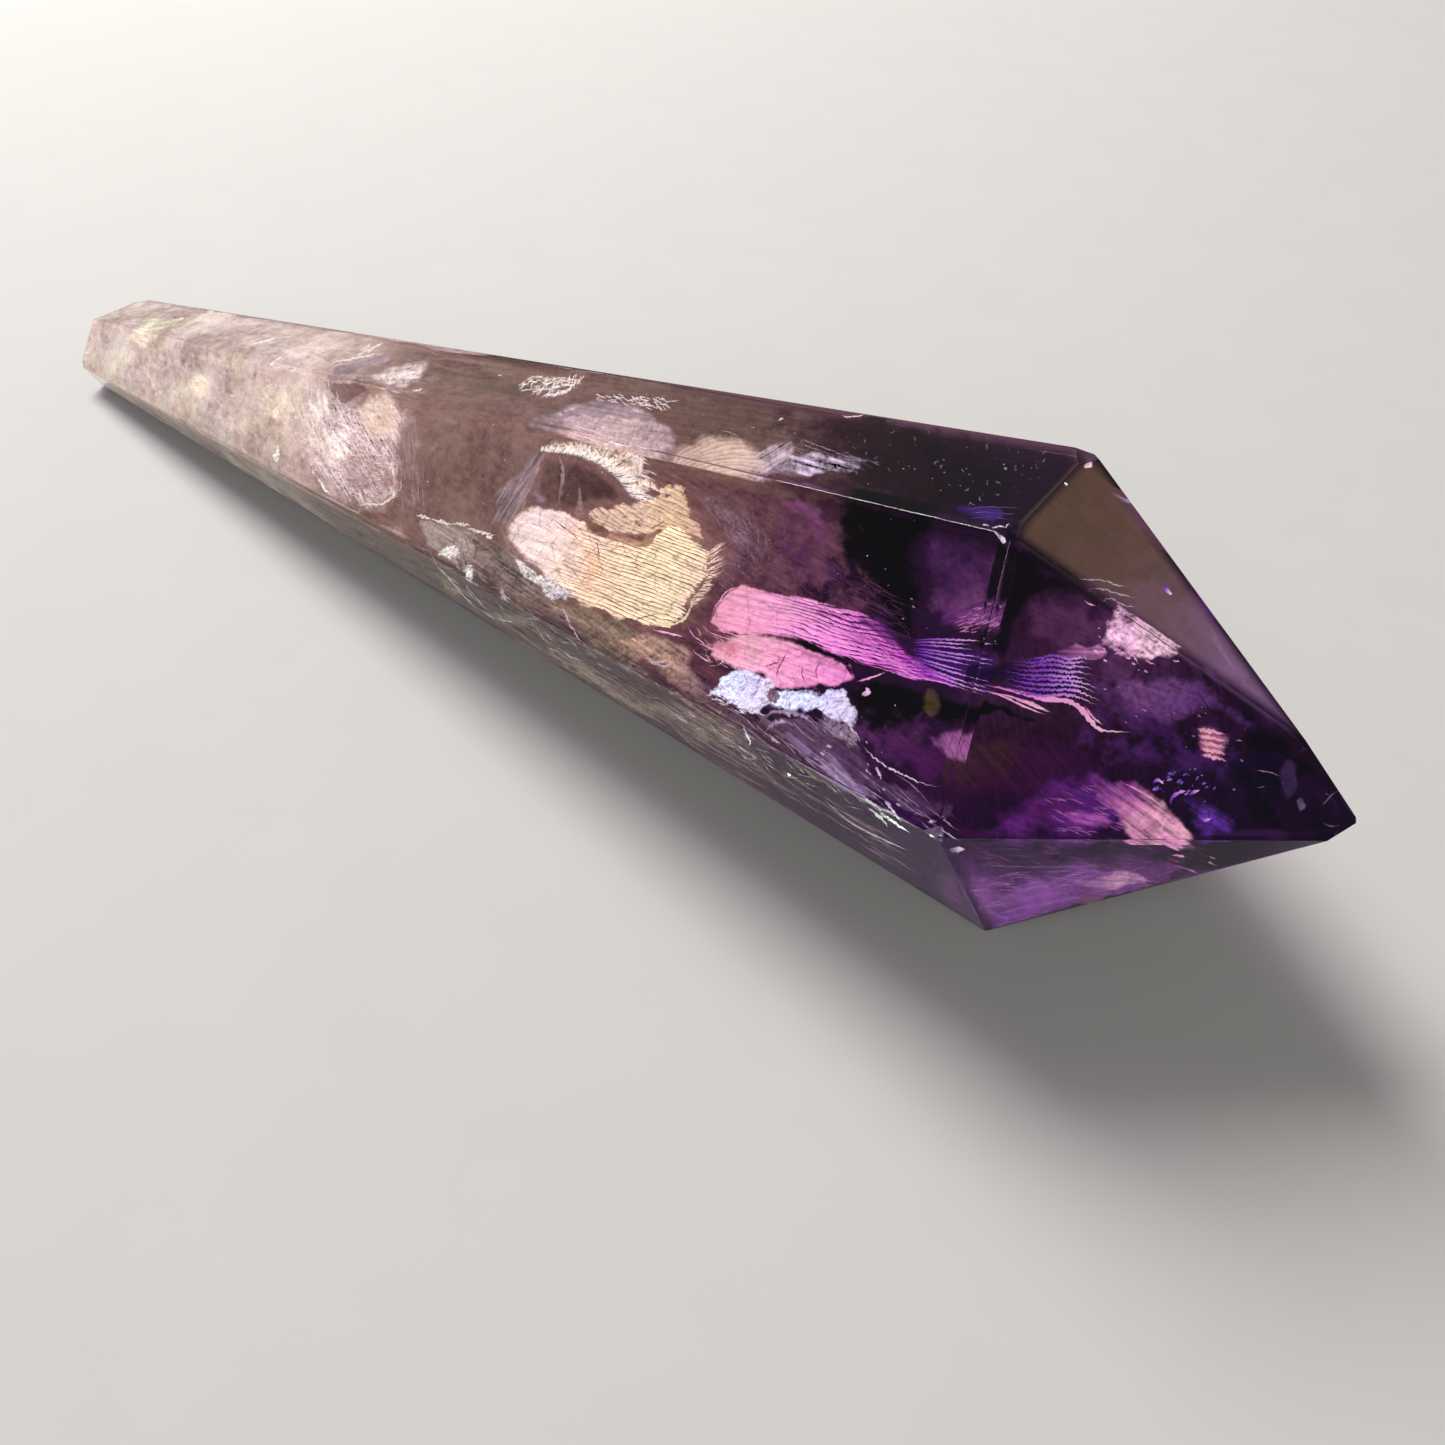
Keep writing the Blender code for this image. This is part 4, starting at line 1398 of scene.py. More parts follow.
# %% Clouds under the upper front flat
mist("grey_dust", FRONT, "676,492 716,488 748,504 776,530 770,560 744,580 722,600 706,610 712,580 730,556 "
     "716,532 694,508", 2.4, (136, 112, 114), (128, 104, 114), (96, 70, 86), grit=0.9, cover=0.8, thin=0.42,
     thin_size=1.0, thin_soft=0.15, grain=50)
hairs("grey_dust_hairs", FRONT, "704,500 744,506 774,540 744,578 716,600 722,548", 60, 18, 62, 1.3, 2.2,
      thread("dust hair", (176, 150, 160), (140, 112, 130), cover=0.45), swing=30, wobble=0.6)
hairs("plum_net", FRONT, "760,560 830,570 900,606 920,650 880,622 800,588", 60, 22, 34, 1.1, 2.6,
      thread("plum net", (120, 74, 112), (86, 40, 92), cover=0.45), swing=35, wobble=0.6)
mist("plum_cloud", FRONT, "748,486 790,490 832,500 838,540 858,580 880,606 850,600 800,592 752,580 "
     "740,556 762,530", 3.8, (112, 72, 92), (92, 52, 84), (60, 26, 62), cover=0.85, grain=30)
mist("plum_flare", FRONT, "770,492 800,494 826,504 830,530 836,556 820,548 800,520 780,508", 3.0,
     (140, 92, 116), (120, 70, 112), cover=0.6, grain=40)
# Painted shade: a near-black wedge at the girdle.
sheet("girdle_night", FRONT, "818,480 880,490 942,508 926,560 934,600 930,660 896,650 862,612 834,566 "
      "824,530", 3.2, dark_shade_finish, grain=60)
mist("girdle_violet", FRONT, "912,516 960,520 1040,530 1030,590 1016,636 950,640 918,624 908,570", 3.2,
     (62, 32, 72), (86, 48, 92), (112, 70, 112), cover=0.9, mottle=0.5, brush=0.15, folds=1.5,
     fold_size=2.0, grain=70)
mist("girdle_rose", FRONT, "930,612 960,592 1020,590 1012,640 956,636 934,626", 2.6, (96, 48, 110),
     (150, 90, 150), cover=0.6, brush=1.0, grain=-20)
hairs("girdle_rose_glints", FRONT, "950,618 976,606 990,608 986,632 960,632", 26, 11, -14, 1.4, 2.2,
      thread("girdle rose glint", (196, 120, 176), (226, 170, 206)), swing=18)
flecks("girdle_sparks", FRONT, "880,560 905,580 930,640 990,600 986,640 900,620", 14, 1.5, 2.4,
       soft_frost_finish, stretch=1.8, turn=20)
hairs("plum_hooks", FRONT, "736,540 788,530 796,556 760,566 740,560", 26, 10, -30, 1.1, 2.2,
      dim_frost_finish, swing=60, wobble=0.6)
hairs("plum_scratches", FRONT, "740,556 830,560 900,600 905,640 850,600 760,580", 26, 46, 28, 1.2, 3.0,
      thread("plum scratch", (130, 84, 116), (96, 52, 104), cover=0.45), swing=10)
# Painted shade: near-black windows low at the girdle.
sheet("low_night", FRONT, "836,680 870,668 910,678 950,688 990,694 984,728 944,738 890,738 856,742 846,714",
      3.2, dark_shade_finish, grain=10)
mist("olive_window", FRONT, "919,694 926,686 936,686 943,696 943,710 935,720 926,720 919,710", 2.9,
     (84, 76, 44), (70, 62, 40), relief=0.1)
mist("low_purple", FRONT, "856,728 900,724 990,722 984,762 976,806 920,790 886,766 866,748", 3.0,
     (92, 38, 84), (80, 30, 84), (64, 22, 70), cover=0.92, mottle=0.3, grain=40)
mist("lilac_flag", FRONT, "910,728 936,733 956,726 986,716 980,742 974,776 948,762 930,748", 2.4,
     (132, 78, 132), (172, 112, 162), cover=0.8, brush=1.0, fray=0.3, grain=62)
mist("pink_crumb", FRONT, "857,690 866,685 874,688 871,694 862,698", 2.2, (196, 128, 168), fray=0.2,
     relief=0.05, tearing=0.4, spacing=2.0)
strokes("pink_thread", FRONT, "856,682 870,678 886,672", 3.0, 2.2, pink_line_finish)

# %% [markdown]
# ## The worn butt under the upper front flat
#
# The butt is milky. Cream and mauve blots lie in it, and beside the clear middle a big
# scribbled veil has white brush marks, a cracked cream patch and white arcs.

# %% Butt blots
CREAM_BLOTS = [
    "118,330 136,334 156,337 150,348 140,354 126,344",
    "186,372 204,372 214,384 206,402 190,398",
    "248,378 274,374 294,390 292,420 272,430 254,410",
    "190,344 236,350 262,366 240,376 200,362",
    "130,366 150,372 168,392 150,390",
    "206,410 236,414 262,430 250,446 220,430",
]
MAUVE_BLOTS = [
    "146,358 176,356 190,372 188,398 166,396 150,378",
    "204,386 222,382 226,410 206,418 196,402",
    "286,408 306,410 312,440 294,450 284,430",
    "230,430 268,432 300,462 280,476 244,456",
    "110,326 122,330 130,346 124,352 112,342",
    # The last blot is painted shade under the leaf.
    "322,374 346,374 356,392 350,410 330,400",
]
cream_blot_finish = haze("cream blot", (236, 212, 204), (246, 226, 218), cover=0.6, grit=0.5)
mauve_blot_finish = haze("mauve blot", (172, 142, 150), (152, 122, 130), cover=0.5, grit=0.4)
for number, blot in enumerate(CREAM_BLOTS, 1):
    sheet(f"cream_blot_{number}", FRONT, blot, 0.7, cream_blot_finish, grain=60, relief=0.1)
for number, blot in enumerate(MAUVE_BLOTS, 1):
    sheet(f"mauve_blot_{number}", FRONT, blot, 0.9, mauve_blot_finish, grain=80, relief=0.1)
hairs("butt_wisps", FRONT, "110,336 240,370 320,400 316,470 220,430 120,376", 110, 24, 40, 2.2, 0.8,
      thread("butt wisp", (238, 220, 216), cover=0.22), swing=40)
flecks("butt_crumbs", FRONT, "110,336 240,360 320,400 316,470 220,430 120,376", 150, 1.5, 0.6,
       haze("butt crumb", (244, 228, 222), cover=0.45), stretch=1.5, turn=30)
BUTT_PATCHES = {
    "butt_triangle": "116,328 132,330 158,336 153,346 142,353 126,344",
    "butt_square": "184,370 206,371 216,384 210,404 190,400",
}
for patch_name, patch in BUTT_PATCHES.items():
    sheet(patch_name, FRONT, patch, 0.5, haze(patch_name, (236, 212, 204), (226, 200, 194), cover=0.6,
          fade=0.7, fray=0.4, grit=0.8), grain=30, relief=0.05)
strokes("butt_nick", FRONT, "110,326 107,338 110,350 | 114,330 118,340 121,348", 1.8, 0.4, dim_frost_finish)

# %% Scribbled veil
sheet("scribble_mass", FRONT, "288,392 312,376 334,380 350,394 372,388 398,386 412,404 414,432 404,456 "
      "410,486 394,512 362,520 326,506 302,480 288,446", 1.0, haze("scribbled veil", (196, 172, 184),
      (220, 194, 204), (192, 164, 170), cover=0.92, fade=0.25, fray=0.25, mottle=0.3, grit=0.7, brush=0.8,
      folds=3.0, thin=0.33, thin_size=1.6, thin_soft=0.2), grain=62)
mist("scribble_wash", FRONT, "256,392 290,374 330,384 350,420 346,470 320,492 284,460 262,430", 0.9,
     (216, 192, 192), (208, 182, 188), cover=0.75, fade=0.9, fray=0.6, grit=0.7, brush=0.8, grain=70)
mist("scribble_light", FRONT, "318,440 336,418 352,420 362,440 350,462 334,472 320,462", 0.8,
     (244, 224, 240), (248, 228, 236), cover=0.7, fade=0.7, fray=0.5, grit=0.9, brush=0.9, thin=0.42,
     thin_size=0.9, thin_soft=0.2, grain=50)
sheet("scribble_cream", FRONT, "352,404 364,392 380,387 396,392 404,410 398,430 384,444 366,438 354,424",
      0.7, veil_finish("scribble cream", [(0.0, (230, 204, 202)), (1.0, (228, 198, 184))], mottle=0.15,
      grit=0.4, fray=1.2, fade=1.2, cover=0.85, folds=2.0, cracks=0.6, line_colour=tone(176, 140, 128),
      crack_size=0.9), grain=60)
mist("scribble_shade", FRONT, "336,456 356,446 388,450 402,470 398,492 378,502 352,498 336,480", 0.8,
     (156, 126, 134), (134, 102, 110), cover=0.7, grit=0.9, fade=0.3, fray=0.3, thin=0.38, thin_size=1.2,
     thin_soft=0.2, grain=("rings", 370, 478))
# Painted shade: a maroon patch under the leaf.
mist("scribble_maroon", FRONT, "322,378 344,380 366,384 372,392 356,400 346,408 334,400 324,390", 0.8,
     (136, 104, 110), (120, 88, 92), cover=0.85, fade=0.25, fray=0.3, grain=20)
hairs("scribble_brush", FRONT, "304,396 322,384 338,392 340,430 326,456 304,440", 50, 26, 84, 1.6, 0.6,
      thread("brush mark", (238, 226, 234), (216, 202, 210), cover=0.5), swing=7)
hairs("scribble_brush_right", FRONT, "384,430 420,420 424,500 392,506", 50, 34, 84, 1.4, 0.8,
      soft_frost_finish, swing=5)
hairs("scribbles", FRONT, "326,440 372,436 396,456 402,492 372,504 336,492", 120, 18, 50, 1.1, 0.7,
      thread("scribble", (240, 224, 232), (220, 202, 210), cover=0.65), swing=60, wobble=0.8)
strokes("scribble_glints", FRONT, "356,506 368,504 382,504 392,498 397,488 | 334,442 340,452 346,460 | "
        "340,444 347,450 354,456 | 390,462 393,470 394,476 | 316,476 322,484 326,494 | 321,482 324,488 "
        "330,494 | 312,470 314,474 | 324,392 325,402 324,412", 2.6, 0.5, frost_finish, wobble=0.9)
sheet("white_spindle", FRONT, "276,438 281,447 283,455 279,464 273,465 271,454", 0.5, shard_finish,
      relief=0.05, spacing=2.0)

# %% [markdown]
# ## Under the top flat
#
# Seen through the top flat: a greenish cream band and flakes at the butt, a two-lobed leaf,
# crackled white, a lilac eye with a frayed white rim, a striped patch, and a white fan. The leaf
# and the eye are real fracture faces, painted with the pale reflection that they throw back.

# %% Veils under the top flat
mist("butt_band", TOP, "126,336 138,324 160,315 209,309 240,313 232,321 196,325 166,332 144,340", 0.6,
     (226, 222, 206), (238, 226, 212), (230, 212, 202), fade=0.25, fray=0.25, grain=-12)
mist("butt_band_green", TOP, "130,330 140,316 156,308 184,307 176,315 156,324 140,335", 0.5,
     (208, 206, 190), (218, 210, 198), cover=0.6, fade=0.5, fray=0.25, grain=-12)
sheet("top_butt_blot", TOP, "270,340 300,334 330,338 336,356 318,372 292,370 272,360", 1.0,
      cream_blot_finish, grain=20)
hairs("top_flakes", TOP, "240,338 310,330 312,344 300,366 268,360", 40, 14, -18, 3.0, 0.6, dim_frost_finish,
      swing=20, wobble=0.8)
strokes("top_white_nicks", TOP, "240,344 254,344 268,340 280,336 | 268,364 276,360 284,356 | 412,391 "
        "418,390 424,389 | 497,375 502,376 | 366,354 376,346 384,343 | 840,415 850,417 866,415 | 778,420 "
        "784,418 | 1064,482 1068,483", 2.0, 0.4, frost_finish, wobble=0.6)
# Painted reflection on a real fracture: the lower lobe of the leaf.
leaf_reflection_finish = haze(
    "lilac leaf", (186, 166, 174), (220, 202, 204), (208, 192, 196), cover=0.9, fade=0.5, fray=0.15,
    brush=0.9, grit=0.7, folds=2.0)
sheet("leaf_upper", TOP, "322,376 340,363 362,355 386,352 394,360 376,368 354,374 334,381", 1.0,
      haze("leaf shade", (142, 122, 134), (160, 140, 150), cover=0.95, fade=0.2, fray=0.12), grain=-18)
sheet("leaf_lower", TOP, "342,379 362,372 386,366 408,360 430,359 428,372 422,382 408,391 388,389 364,385",
      0.9, leaf_reflection_finish, grain=-6)
strokes("leaf_rim", TOP, "320,370 336,362 352,359 368,355 382,353 | 352,358 364,352 374,350 | 358,350 "
        "366,348 372,342", 2.4, 0.8, frost_finish, wobble=0.9)
crackle_ticks = hatching(
    "crackle ticks", "519,386 532,376 586,376 578,386 560,396 528,392", 70, 12, -35, swing=50)
strokes("crackle_patch", TOP, crackle_ticks, 1.5, 1.0, frost_finish, wobble=0.6)
strokes("crackle_streaks", TOP, "540,396 556,394 570,388 | 544,390 560,386 576,384 | 556,396 566,392 "
        "574,384", 3.0, 0.9, frost_finish, wobble=0.8)
# Painted reflection on a real fracture: the eye.
eye_reflection_finish = veil_finish(
    "lilac eye", [(0.0, (132, 118, 124)), (0.3, (184, 164, 170)), (0.7, (212, 188, 186)),
    (1.0, (160, 144, 148))], mottle=0.2, brush=0.45, grit=0.5, fade=0.7, fray=0.5, folds=1.8, cover=0.9)
sheet("lilac_eye", TOP, "518,424 540,411 564,403 590,399 616,401 648,409 670,419 682,436 680,454 656,460 "
      "634,456 604,448 576,440 546,430", 1.1, eye_reflection_finish, grain=12)
mist("eye_lid", TOP, "540,412 566,403 590,399 616,401 648,410 666,422 640,424 610,418 580,416 552,420", 0.9,
     (132, 116, 126), (144, 128, 136), cover=0.85, fade=0.25, fray=0.2, grain=10)
hairs("eye_rim", TOP, "578,400 602,394 640,397 676,400 664,412 640,406 604,402", 60, 10, 20, 1.5, 1.0,
      frost_finish, swing=35, wobble=0.5)
strokes("eye_pink", TOP, "556,427 580,433 606,440 634,448 | 560,421 590,430 620,440", 2.0, 0.9,
        thread("eye pink", (214, 160, 160), cover=0.5))
sheet("striped_patch", TOP, "656,462 670,443 692,433 714,426 734,429 754,438 776,452 780,484 738,490 "
      "712,484 684,474", 0.9, veil_finish("striped patch", [(0.0, (198, 172, 162)), (0.5, (226, 204, 182)),
      (1.0, (192, 170, 166))], lines=0.12, line_colour=tone(168, 140, 126), line_gap=0.3, line_share=0.12,
      line_span=(0, 0.1), fade=1.1, fray=0.7, comb=0.15, folds=0.8, cover=0.85), grain=("rings", 735, 560))
mist("grey_spindle", TOP, "732,474 748,456 768,442 788,434 802,444 792,466 768,480", 1.0, (120, 108, 112),
     (176, 166, 172), (140, 128, 134), grit=0.8, brush=1.6, fade=0.35, fray=0.3, thin=0.4, thin_soft=0.2,
     grain=-30)
mist("white_fan", TOP, "766,476 782,450 812,446 846,452 892,464 850,476 808,480", 1.1, (150, 138, 150),
     (206, 198, 212), (116, 98, 110), fade=0.3, fray=0.35, grit=0.8, brush=1.6, thin=0.42, thin_soft=0.2,
     grain=16)
hairs("fan_fibres", TOP, "770,474 790,448 840,452 884,464 840,472 800,478", 60, 22, 16, 1.3, 1.0,
      dim_frost_finish, swing=16)
strokes("fan_streaks", TOP, "780,436 800,439 820,446 838,453 856,460 878,465 | 790,442 812,448 840,458 "
        "868,466 | 716,430 728,432 742,438 | 748,470 762,456 780,445 792,440", 1.8, 1.2, dim_frost_finish,
        wobble=0.5)

# %% Clouds under the top flat
mist("top_olive", TOP, "440,366 510,372 560,396 530,408 470,400 430,384", 2.2, (112, 100, 84), (98, 84, 72),
     cover=0.6, grain=9)
mist("top_olive_far", TOP, "676,400 730,404 760,420 740,430 690,432 678,420", 2.2, (100, 88, 80),
     (90, 76, 72), cover=0.6, grain=9)
# Painted shade: a dark cloud under the top flat towards the girdle.
mist("top_night", TOP, "826,412 920,422 1072,446 1076,464 1020,522 960,520 900,506 836,486", 2.0,
     (52, 32, 38), (28, 12, 20), (40, 18, 44), cover=0.95, mottle=0.2, fade=0.2, fray=0.3, glow=0.6,
     grain=9)
mist("top_violet", TOP, "950,510 980,502 1022,508 1020,520 996,524 966,518", 1.0, (48, 24, 84),
     (70, 44, 108), cover=0.8, grain=6)
strokes("top_violet_lines", TOP, "962,510 985,507 1026,508 | 958,515 985,512 1020,515 | 966,519 990,517 "
        "1016,521", 1.2, 0.9, thread("top violet lines", (78, 54, 130), (120, 96, 176), cover=0.7))

# %% [markdown]
# ## Under the point flats
#
# The point is a deep violet. Pink crumbs of crack catch the light along its upper edge,
# a dark red window and bluish clouds lie low down, and pink rungs stand near the tip.

# %% Upper side of the point
mist("plum_haze", POINT, "1022,592 1060,588 1092,606 1108,628 1104,648 1060,652 1024,648 1016,620", 3.6,
     (60, 28, 64), (108, 66, 100), cover=0.85, mottle=0.4, grain=20)
# Painted shade: a near-black cloud under the upper side of the point.
mist("point_night", POINT, "1010,536 1052,570 1086,594 1040,598 1022,622 1018,656 984,660 990,600", 3.0,
     (14, 1, 18), (24, 4, 30), cover=0.95, glow=0.5, fade=0.25, fray=0.3, grain=70)
blotch_finish = veil_finish(
    "pink blotch", [(0.0, (164, 108, 144)), (0.35, (244, 204, 214)), (1.0, (254, 232, 220))], mottle=0.3,
    grit=0.8, brush=0.6, thin=0.34, thin_size=1.2, thin_soft=0.2, fade=0.45, fray=0.7, folds=3.0, glow=1.5)
sheet("pink_blotch", POINT, "1092,646 1102,622 1109,596 1134,604 1160,622 1188,642 1190,656 1170,662 "
      "1148,668 1126,664 1108,656", 1.6, blotch_finish, grain=36, lean=(0.2, 0.3))
flecks("blotch_specks", POINT, "1090,640 1110,606 1184,652 1150,672 1096,664", 24, 1.4, 1.5,
       pink_line_finish, stretch=2.0, turn=30)
sheet("pink_blotch_tail", POINT, "1050,656 1074,640 1100,640 1114,654 1096,666 1066,664", 2.2,
      haze("blotch tail", (120, 66, 124), (196, 134, 174), cover=0.7, brush=1.2), grain=0)
strokes("blotch_glints", POINT, "1158,652 1164,650 1170,651 | 1144,659 1150,663 1156,664 | 1112,655 "
        "1120,653 1128,653 | 1172,660 1180,662 | 1128,648 1134,656 1138,664 | 1090,655 1100,652 1108,652 "
        "| 1082,600 1090,604 1096,606", 2.4, 1.2, pink_line_finish, wobble=0.6)
mist("grape_haze", POINT, "1100,668 1140,668 1190,668 1240,696 1284,730 1240,740 1200,722 1170,740 "
     "1130,726 1108,700", 3.2, (128, 88, 132), (112, 76, 128), (84, 50, 110), cover=0.9, grit=0.7, grain=20)
strokes("pink_rungs", POINT, [[(1196 + step, 729 + step * 6.5), (1208 + step, 731 + step * 6.5),
        (1228, 735 + step * 6.5)] for step in range(5)], 6.0, 1.6, peach_line_finish, wobble=0.8)
mist("rung_glow", POINT, "1192,722 1214,718 1232,734 1230,762 1208,762 1194,748", 2.2, (176, 112, 138),
     (196, 138, 158), cover=0.75, grain=10)

# %% Lower side of the point
mist("wine_window", POINT, "926,798 932,750 950,724 978,715 1000,713 1020,722 1056,722 1086,734 1112,742 "
     "1106,780 1060,800 1000,812 962,812", 2.8, (66, 44, 46), (58, 18, 54), (60, 20, 72), cover=0.94,
     mottle=0.15, grain=50)
# Painted shade: a near-black strip along the top of the wine window.
sheet("wine_top_night", POINT, "980,694 1006,702 1036,716 1050,724 1020,722 1000,713 976,716", 2.6,
      dark_shade_finish)
mist("violet_cloud", POINT, "1040,764 1090,756 1136,776 1164,800 1176,826 1154,852 1080,854 1000,854 "
     "928,852 950,812 1010,796", 2.6, (86, 24, 88), (98, 42, 118), (84, 38, 118), cover=0.88, mottle=0.4,
     grain=20)
mist("violet_streaks", POINT, "1050,812 1090,806 1124,824 1110,834 1070,830", 2.0, (116, 56, 136),
     (170, 96, 160), cover=0.7, brush=1.4, fray=0.7, grain=14)
hairs("violet_glints", POINT, "1040,800 1110,780 1140,812 1120,834 1050,834", 46, 20, 16, 1.6, 1.9,
      thread("violet glint", (150, 84, 160), (206, 140, 190), cover=0.6), swing=14)
mist("pink_fan", POINT, "1080,770 1120,776 1156,792 1178,808 1204,852 1150,854 1120,836 1092,806", 1.8,
     (128, 62, 136), (190, 120, 162), (240, 188, 190), brush=1.0, fade=0.25, fray=0.3, folds=2.0, glow=1.2,
     grain=38)
strokes("fan_edges", POINT, "1116,780 1134,788 1152,799 1170,812 | 1170,812 1164,822 1160,834 | 1168,812 "
        "1180,824 1192,836 | 1140,800 1156,816 1168,832", 2.2, 1.5, pink_line_finish)
mist("blue_cloud", POINT, "1166,808 1172,790 1190,782 1210,790 1232,802 1248,824 1240,852 1206,852 "
     "1186,834", 1.8, (64, 28, 104), (108, 72, 168), (78, 36, 124), mottle=0.4, grit=0.8, brush=0.9,
     fade=0.7, fray=0.7, grain=30)
strokes("blue_hooks", POINT, "1170,806 1172,798 1180,792 1186,791 | 1188,796 1194,792 1200,790 | 1152,784 "
        "1158,780 1164,784 | 1196,812 1204,820 1212,818", 4.0, 1.2, lilac_line_finish)
flecks("blue_crumbs", POINT, "1150,776 1200,766 1216,790 1170,796 1148,792", 30, 2.0, 1.5,
       haze("blue crumb", (116, 86, 182), (168, 140, 220), cover=0.85), stretch=2.0, turn=-30)
mist("tip_haze", POINT, "1214,764 1250,742 1300,752 1330,800 1320,832 1256,832 1240,800", 2.6, (40, 12, 64),
     (22, 2, 36), (22, 2, 32), cover=0.9, fade=0.25, fray=0.3, glow=0.7, grain=30)
# Painted shade: a near-black cloud at the tip.
mist("tip_night", POINT, "1230,700 1290,728 1352,806 1362,826 1330,846 1250,838 1236,790 1240,750", 3.4,
     (26, 4, 38), (8, 0, 18), cover=0.95, fade=0.25, fray=0.2, glow=0.4, grain=40)
mist("tip_smoke", POINT, "1274,768 1284,754 1300,758 1302,782 1290,806 1280,792", 2.0, (84, 66, 94),
     (94, 70, 114), cover=0.45, grain=60)
mist("tip_violet", POINT, "1292,802 1304,796 1310,806 1300,814", 1.8, (96, 48, 132), cover=0.4)
strokes("tip_glints", POINT, "1197,714 1202,718 | 1234,740 1243,741 | 1256,788 1266,786 | 1322,822 "
        "1330,826 1342,825 | 1252,770 1268,772 1284,778 | 1140,708 1148,712 | 1324,791 1332,799 1338,808 "
        "| 1180,836 1188,838", 2.0, 1.0, peach_line_finish, wobble=0.4)

# %% Lower front point flat
# Painted shade: a near-black band along the upper edge of the lower front point flat.
mist("band_night", LOW_POINT, "938,838 1100,836 1332,838 1300,860 1220,882 1176,870 1110,858 1000,852", 0.9,
     (34, 8, 44), (36, 10, 46), cover=0.95, fade=0.25, fray=0.3, grain=0)
mist("orchid_low", LOW_POINT, "936,866 1040,864 1150,866 1168,880 1120,908 1056,926 986,948 954,900", 1.4,
     (104, 58, 124), (136, 78, 156), (150, 92, 164), cover=0.92, mottle=0.35, glow=1.1, grain=-12)
mist("orchid_pale", LOW_POINT, "1060,876 1110,870 1150,876 1156,886 1120,892 1080,890", 1.1, (140, 90, 156),
     (206, 156, 186), (236, 196, 200), cover=0.8, brush=1.4, fade=0.3, fray=0.4, grain=4)
hairs("orchid_fibres", LOW_POINT, "970,880 1040,868 1150,870 1150,888 1060,908 990,922", 80, 30, -4, 1.5,
      1.0, thread("orchid fibre", (150, 96, 166), (196, 146, 196), cover=0.45), swing=12)
strokes("band_line", LOW_POINT, "958,862 1000,866 1060,867 1150,865", 1.6, 0.4, dim_frost_finish)
hairs("band_rungs", LOW_POINT, "1168,846 1200,846 1212,862 1190,872 1170,862", 20, 24, 18, 3.0, 0.8,
      pink_line_finish, swing=8)
hairs("band_streaks", LOW_POINT, "960,846 1150,846 1200,870 1150,872 980,866", 40, 22, 10, 1.8, 0.9,
      thread("band streak", (120, 74, 116), (160, 110, 140), cover=0.4), swing=12)
mist("band_lens", LOW_POINT, "946,846 958,844 968,848 958,856 948,854", 0.6, (110, 96, 112), relief=0.05)

# %% Upper point flat
strokes("pane_lines", TOP_POINT, "1073,577 1089,580 1106,581 1117,585 1136,587 | 1084,590 1099,589 "
        "1110,591 1126,596 1141,598 | 1100,600 1112,599 1124,605 1141,609 | 1112,612 1124,612 1136,616",
        2.6, 0.35, dim_frost_finish, wobble=0.8)
strokes("pane_spot", TOP_POINT, "1164,585 1167,590 1172,595", 5.0, 0.8, lilac_line_finish)

# %% [markdown]
# ## Under the lower front flat
#
# The camera sees this narrow flat at a low angle. It shows greyish mauve at the butt, a
# beige band along the lower edge in the middle, and orchid at the girdle.

# %% Lower front flat
mist("lower_beige", LOW_FRONT, "430,556 520,606 660,690 760,748 830,800 800,812 700,755 560,672 440,600",
     1.0, (160, 142, 132), (170, 154, 138), (136, 116, 112), cover=0.8, brush=1.0, grit=0.8, grain=31)
mist("lower_orchid", LOW_FRONT, "930,868 958,872 990,930 964,924 944,902", 1.0, (92, 52, 96),
     (124, 72, 136), cover=0.8, grain=40)
hairs("lower_streaks", LOW_FRONT, "440,576 600,664 800,780 930,860 900,868 700,750 500,630", 80, 46, 31,
      1.8, 0.6, thread("lower streak", (196, 176, 164), (150, 130, 128), cover=0.5), swing=3)
hairs("lower_dark_streaks", LOW_FRONT, "440,576 600,664 800,780 930,860 900,868 700,750 500,630", 50, 54,
      31, 3.0, 0.7, dark_streak_finish, swing=3)
strokes("lower_curve", LOW_FRONT, "432,562 446,575 462,594 480,612 | 700,722 724,736 750,754 790,778 | "
        "820,796 850,822 880,838 912,852", 2.4, 0.4, haze("lower curve", (206, 186, 172), cover=0.8,
        fray=0.0))

# %% [markdown]
# ## The hidden sides
#
# The photograph doesn't show the back and the rest flats, so what hangs there is a guess.
# The same kinds of veil come again, turned round, smaller or larger, and in other places.

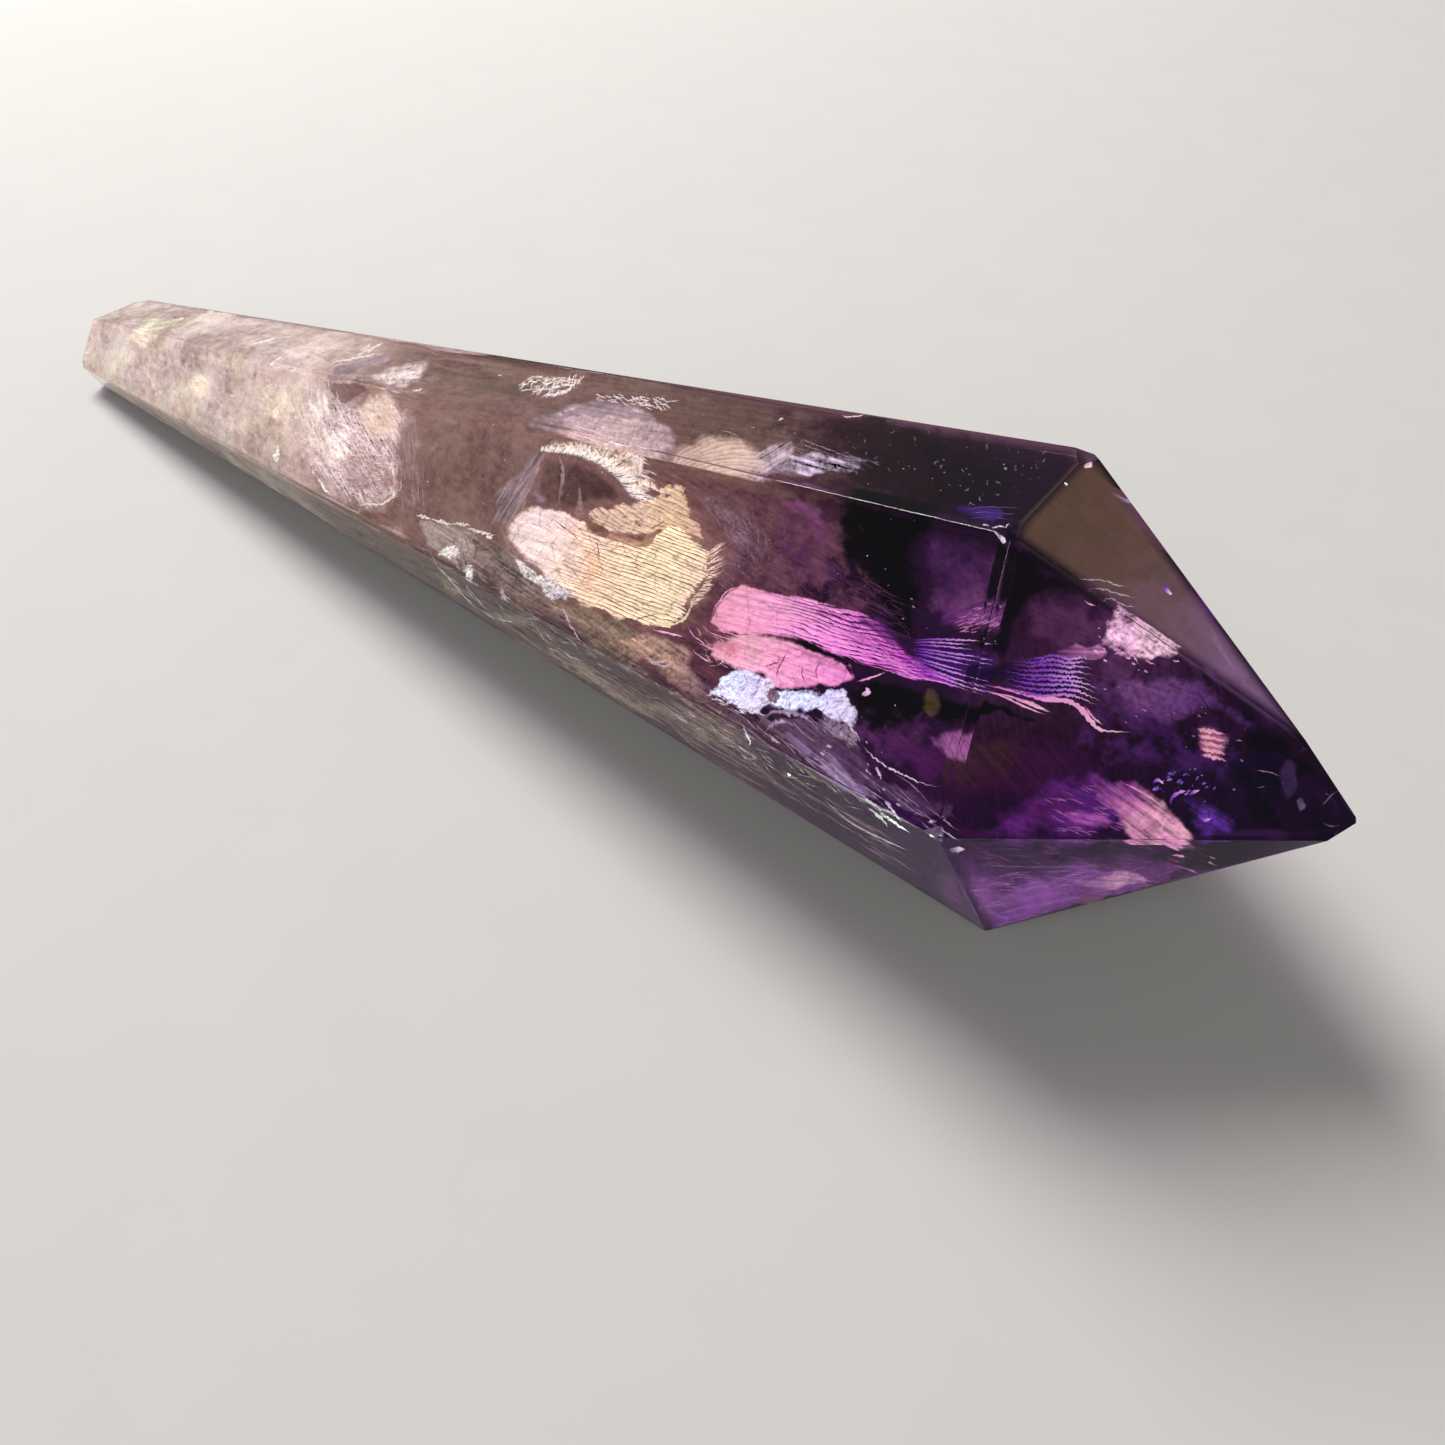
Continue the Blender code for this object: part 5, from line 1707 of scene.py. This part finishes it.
# %% Veils on the hidden sides
HIDDEN = [
    ("cream_veil", "upper back", (-190, -104), (-0.8, 0.8)),
    ("cream_smoke", "upper back", (-190, -104), (-1.0, 1.0)),
    ("magenta_veil", "upper back", (10, -20), (0.9, -0.8)),
    ("magenta_dusk", "upper back", (-20, -10), (1.6, 1.2)),
    ("salmon_veil", "upper back", (-90, -120), (-1.0, -0.9)),
    ("icy_right", "upper back", (60, 30), (-1.2, 0.9)),
    ("shell_haze", "upper back", (-40, -60), (-1.0, 0.8)),
    ("grey_sheaf", "upper back", (230, 110), (1.2, 1.0)),
    ("girdle_night", "upper back", (20, 40), (1.0, 1.1)),
    ("girdle_violet", "upper back", (-40, 60), (1.3, 1.0)),
    ("low_purple", "upper back", (-160, -150), (1.8, 1.4)),
    ("rock_grey", "upper back", (200, 90), (1.0, 0.9)),
    ("crushed_white", "upper back", (-90, -60), (1.0, 1.2)),
    ("scribble_mass", "upper back", (-40, 10), (-1.1, 0.9)),
    ("rock_beige", "lower back", (-90, -30), (1.4, 0.5)),
    ("icy_left", "lower back", (-40, 30), (1.5, 0.5)),
    ("low_purple", "lower back", (-40, 60), (1.5, 0.6)),
    ("pink_blotch", "upper back point", (60, 40), (-1.2, 1.0)),
    ("violet_cloud", "upper back point", (40, -90), (1.0, 1.3)),
    ("wine_window", "upper back point", (150, 20), (-1.0, 0.9)),
    ("grape_haze", "upper back point", (-90, 60), (1.0, 1.1)),
    ("blue_cloud", "upper back point", (-140, -100), (1.3, 1.2)),
    ("orchid_low", "lower back point", (60, 0), (-1.1, 1.0)),
    ("cream_veil", "rest", (-30, 20), (0.9, -0.5)),
    ("magenta_veil", "rest", (-20, 40), (0.8, 0.6)),
    ("shell_haze", "rest", (-300, -160), (1.0, 0.8)),
    ("girdle_night", "rest", (20, 200), (1.2, 0.8)),
    ("violet_cloud", "rest point", (10, 90), (1.0, 0.8)),
    ("pink_fan", "rest point", (-60, 110), (1.0, 0.8)),
]
for number, (model, hidden_window, (right, down), (stretch, rise)) in enumerate(HIDDEN, 1):
    model_outline, model_depth, model_finish, model_grain = hung[model]
    model_middle = model_outline.mean(0)
    moved = model_middle + (right, down) + (model_outline - model_middle) * (stretch, rise)
    sheet(f"hidden_{number:02d}_{model}", hidden_window, moved, model_depth, model_finish,
          grain=model_grain, spacing=4.5)
for side in ("upper back", "upper back point", "rest"):
    strokes(f"hidden_frost_{side.replace(' ', '_')}", side, hatching(f"hidden frost {side}",
            windows[side][2], 90, 22, 30, swing=30), 1.4, 1.2, soft_frost_finish)

# %% [markdown]
# ## Chips, nicks and dust
#
# Two girdle corners are chipped and frosted white. Fine dust and lint lie on the flats.

# %% Frost and dust on the skin
sheet("girdle_chip", FRONT, "990,532 998,531 1006,538 1006,545 1000,541", 0.1, frost_finish, relief=0.0,
      spacing=2.0, tearing=0.3)
strokes("girdle_chip_frost", TOP, "990,528 998,527 1006,526 | 982,524 990,527 | 1004,528 1010,523", 2.2,
        0.1, frost_finish, wobble=1.0)
mist("point_chip", TOP_POINT, "1079,466 1086,459 1094,461 1096,468 1086,471", 0.3, (214, 176, 172),
     relief=0.0, spacing=2.0)
flecks("top_dust", TOP, "600,385 1070,452 1010,520 640,430", 110, 0.7, -0.02, soft_frost_finish,
       stretch=1.8)
flecks("front_dust", FRONT, "150,340 990,535 940,820 200,400", 60, 0.8, -0.02, dim_frost_finish,
       stretch=1.5, turn=30)
flecks("inner_glints", FRONT, "700,690 860,720 930,820 800,770", 24, 2.0, 0.8, dim_frost_finish,
       stretch=2.0, turn=40)
hairs("top_lint", TOP, "820,420 1050,452 1010,515 860,480", 26, 8, 0, 0.9, -0.02, frost_finish, swing=90,
      wobble=1.2)
flecks("point_glints", POINT, "1100,660 1250,720 1230,830 1100,760", 26, 1.1, 1.5, soft_frost_finish,
       stretch=2.2, turn=20)
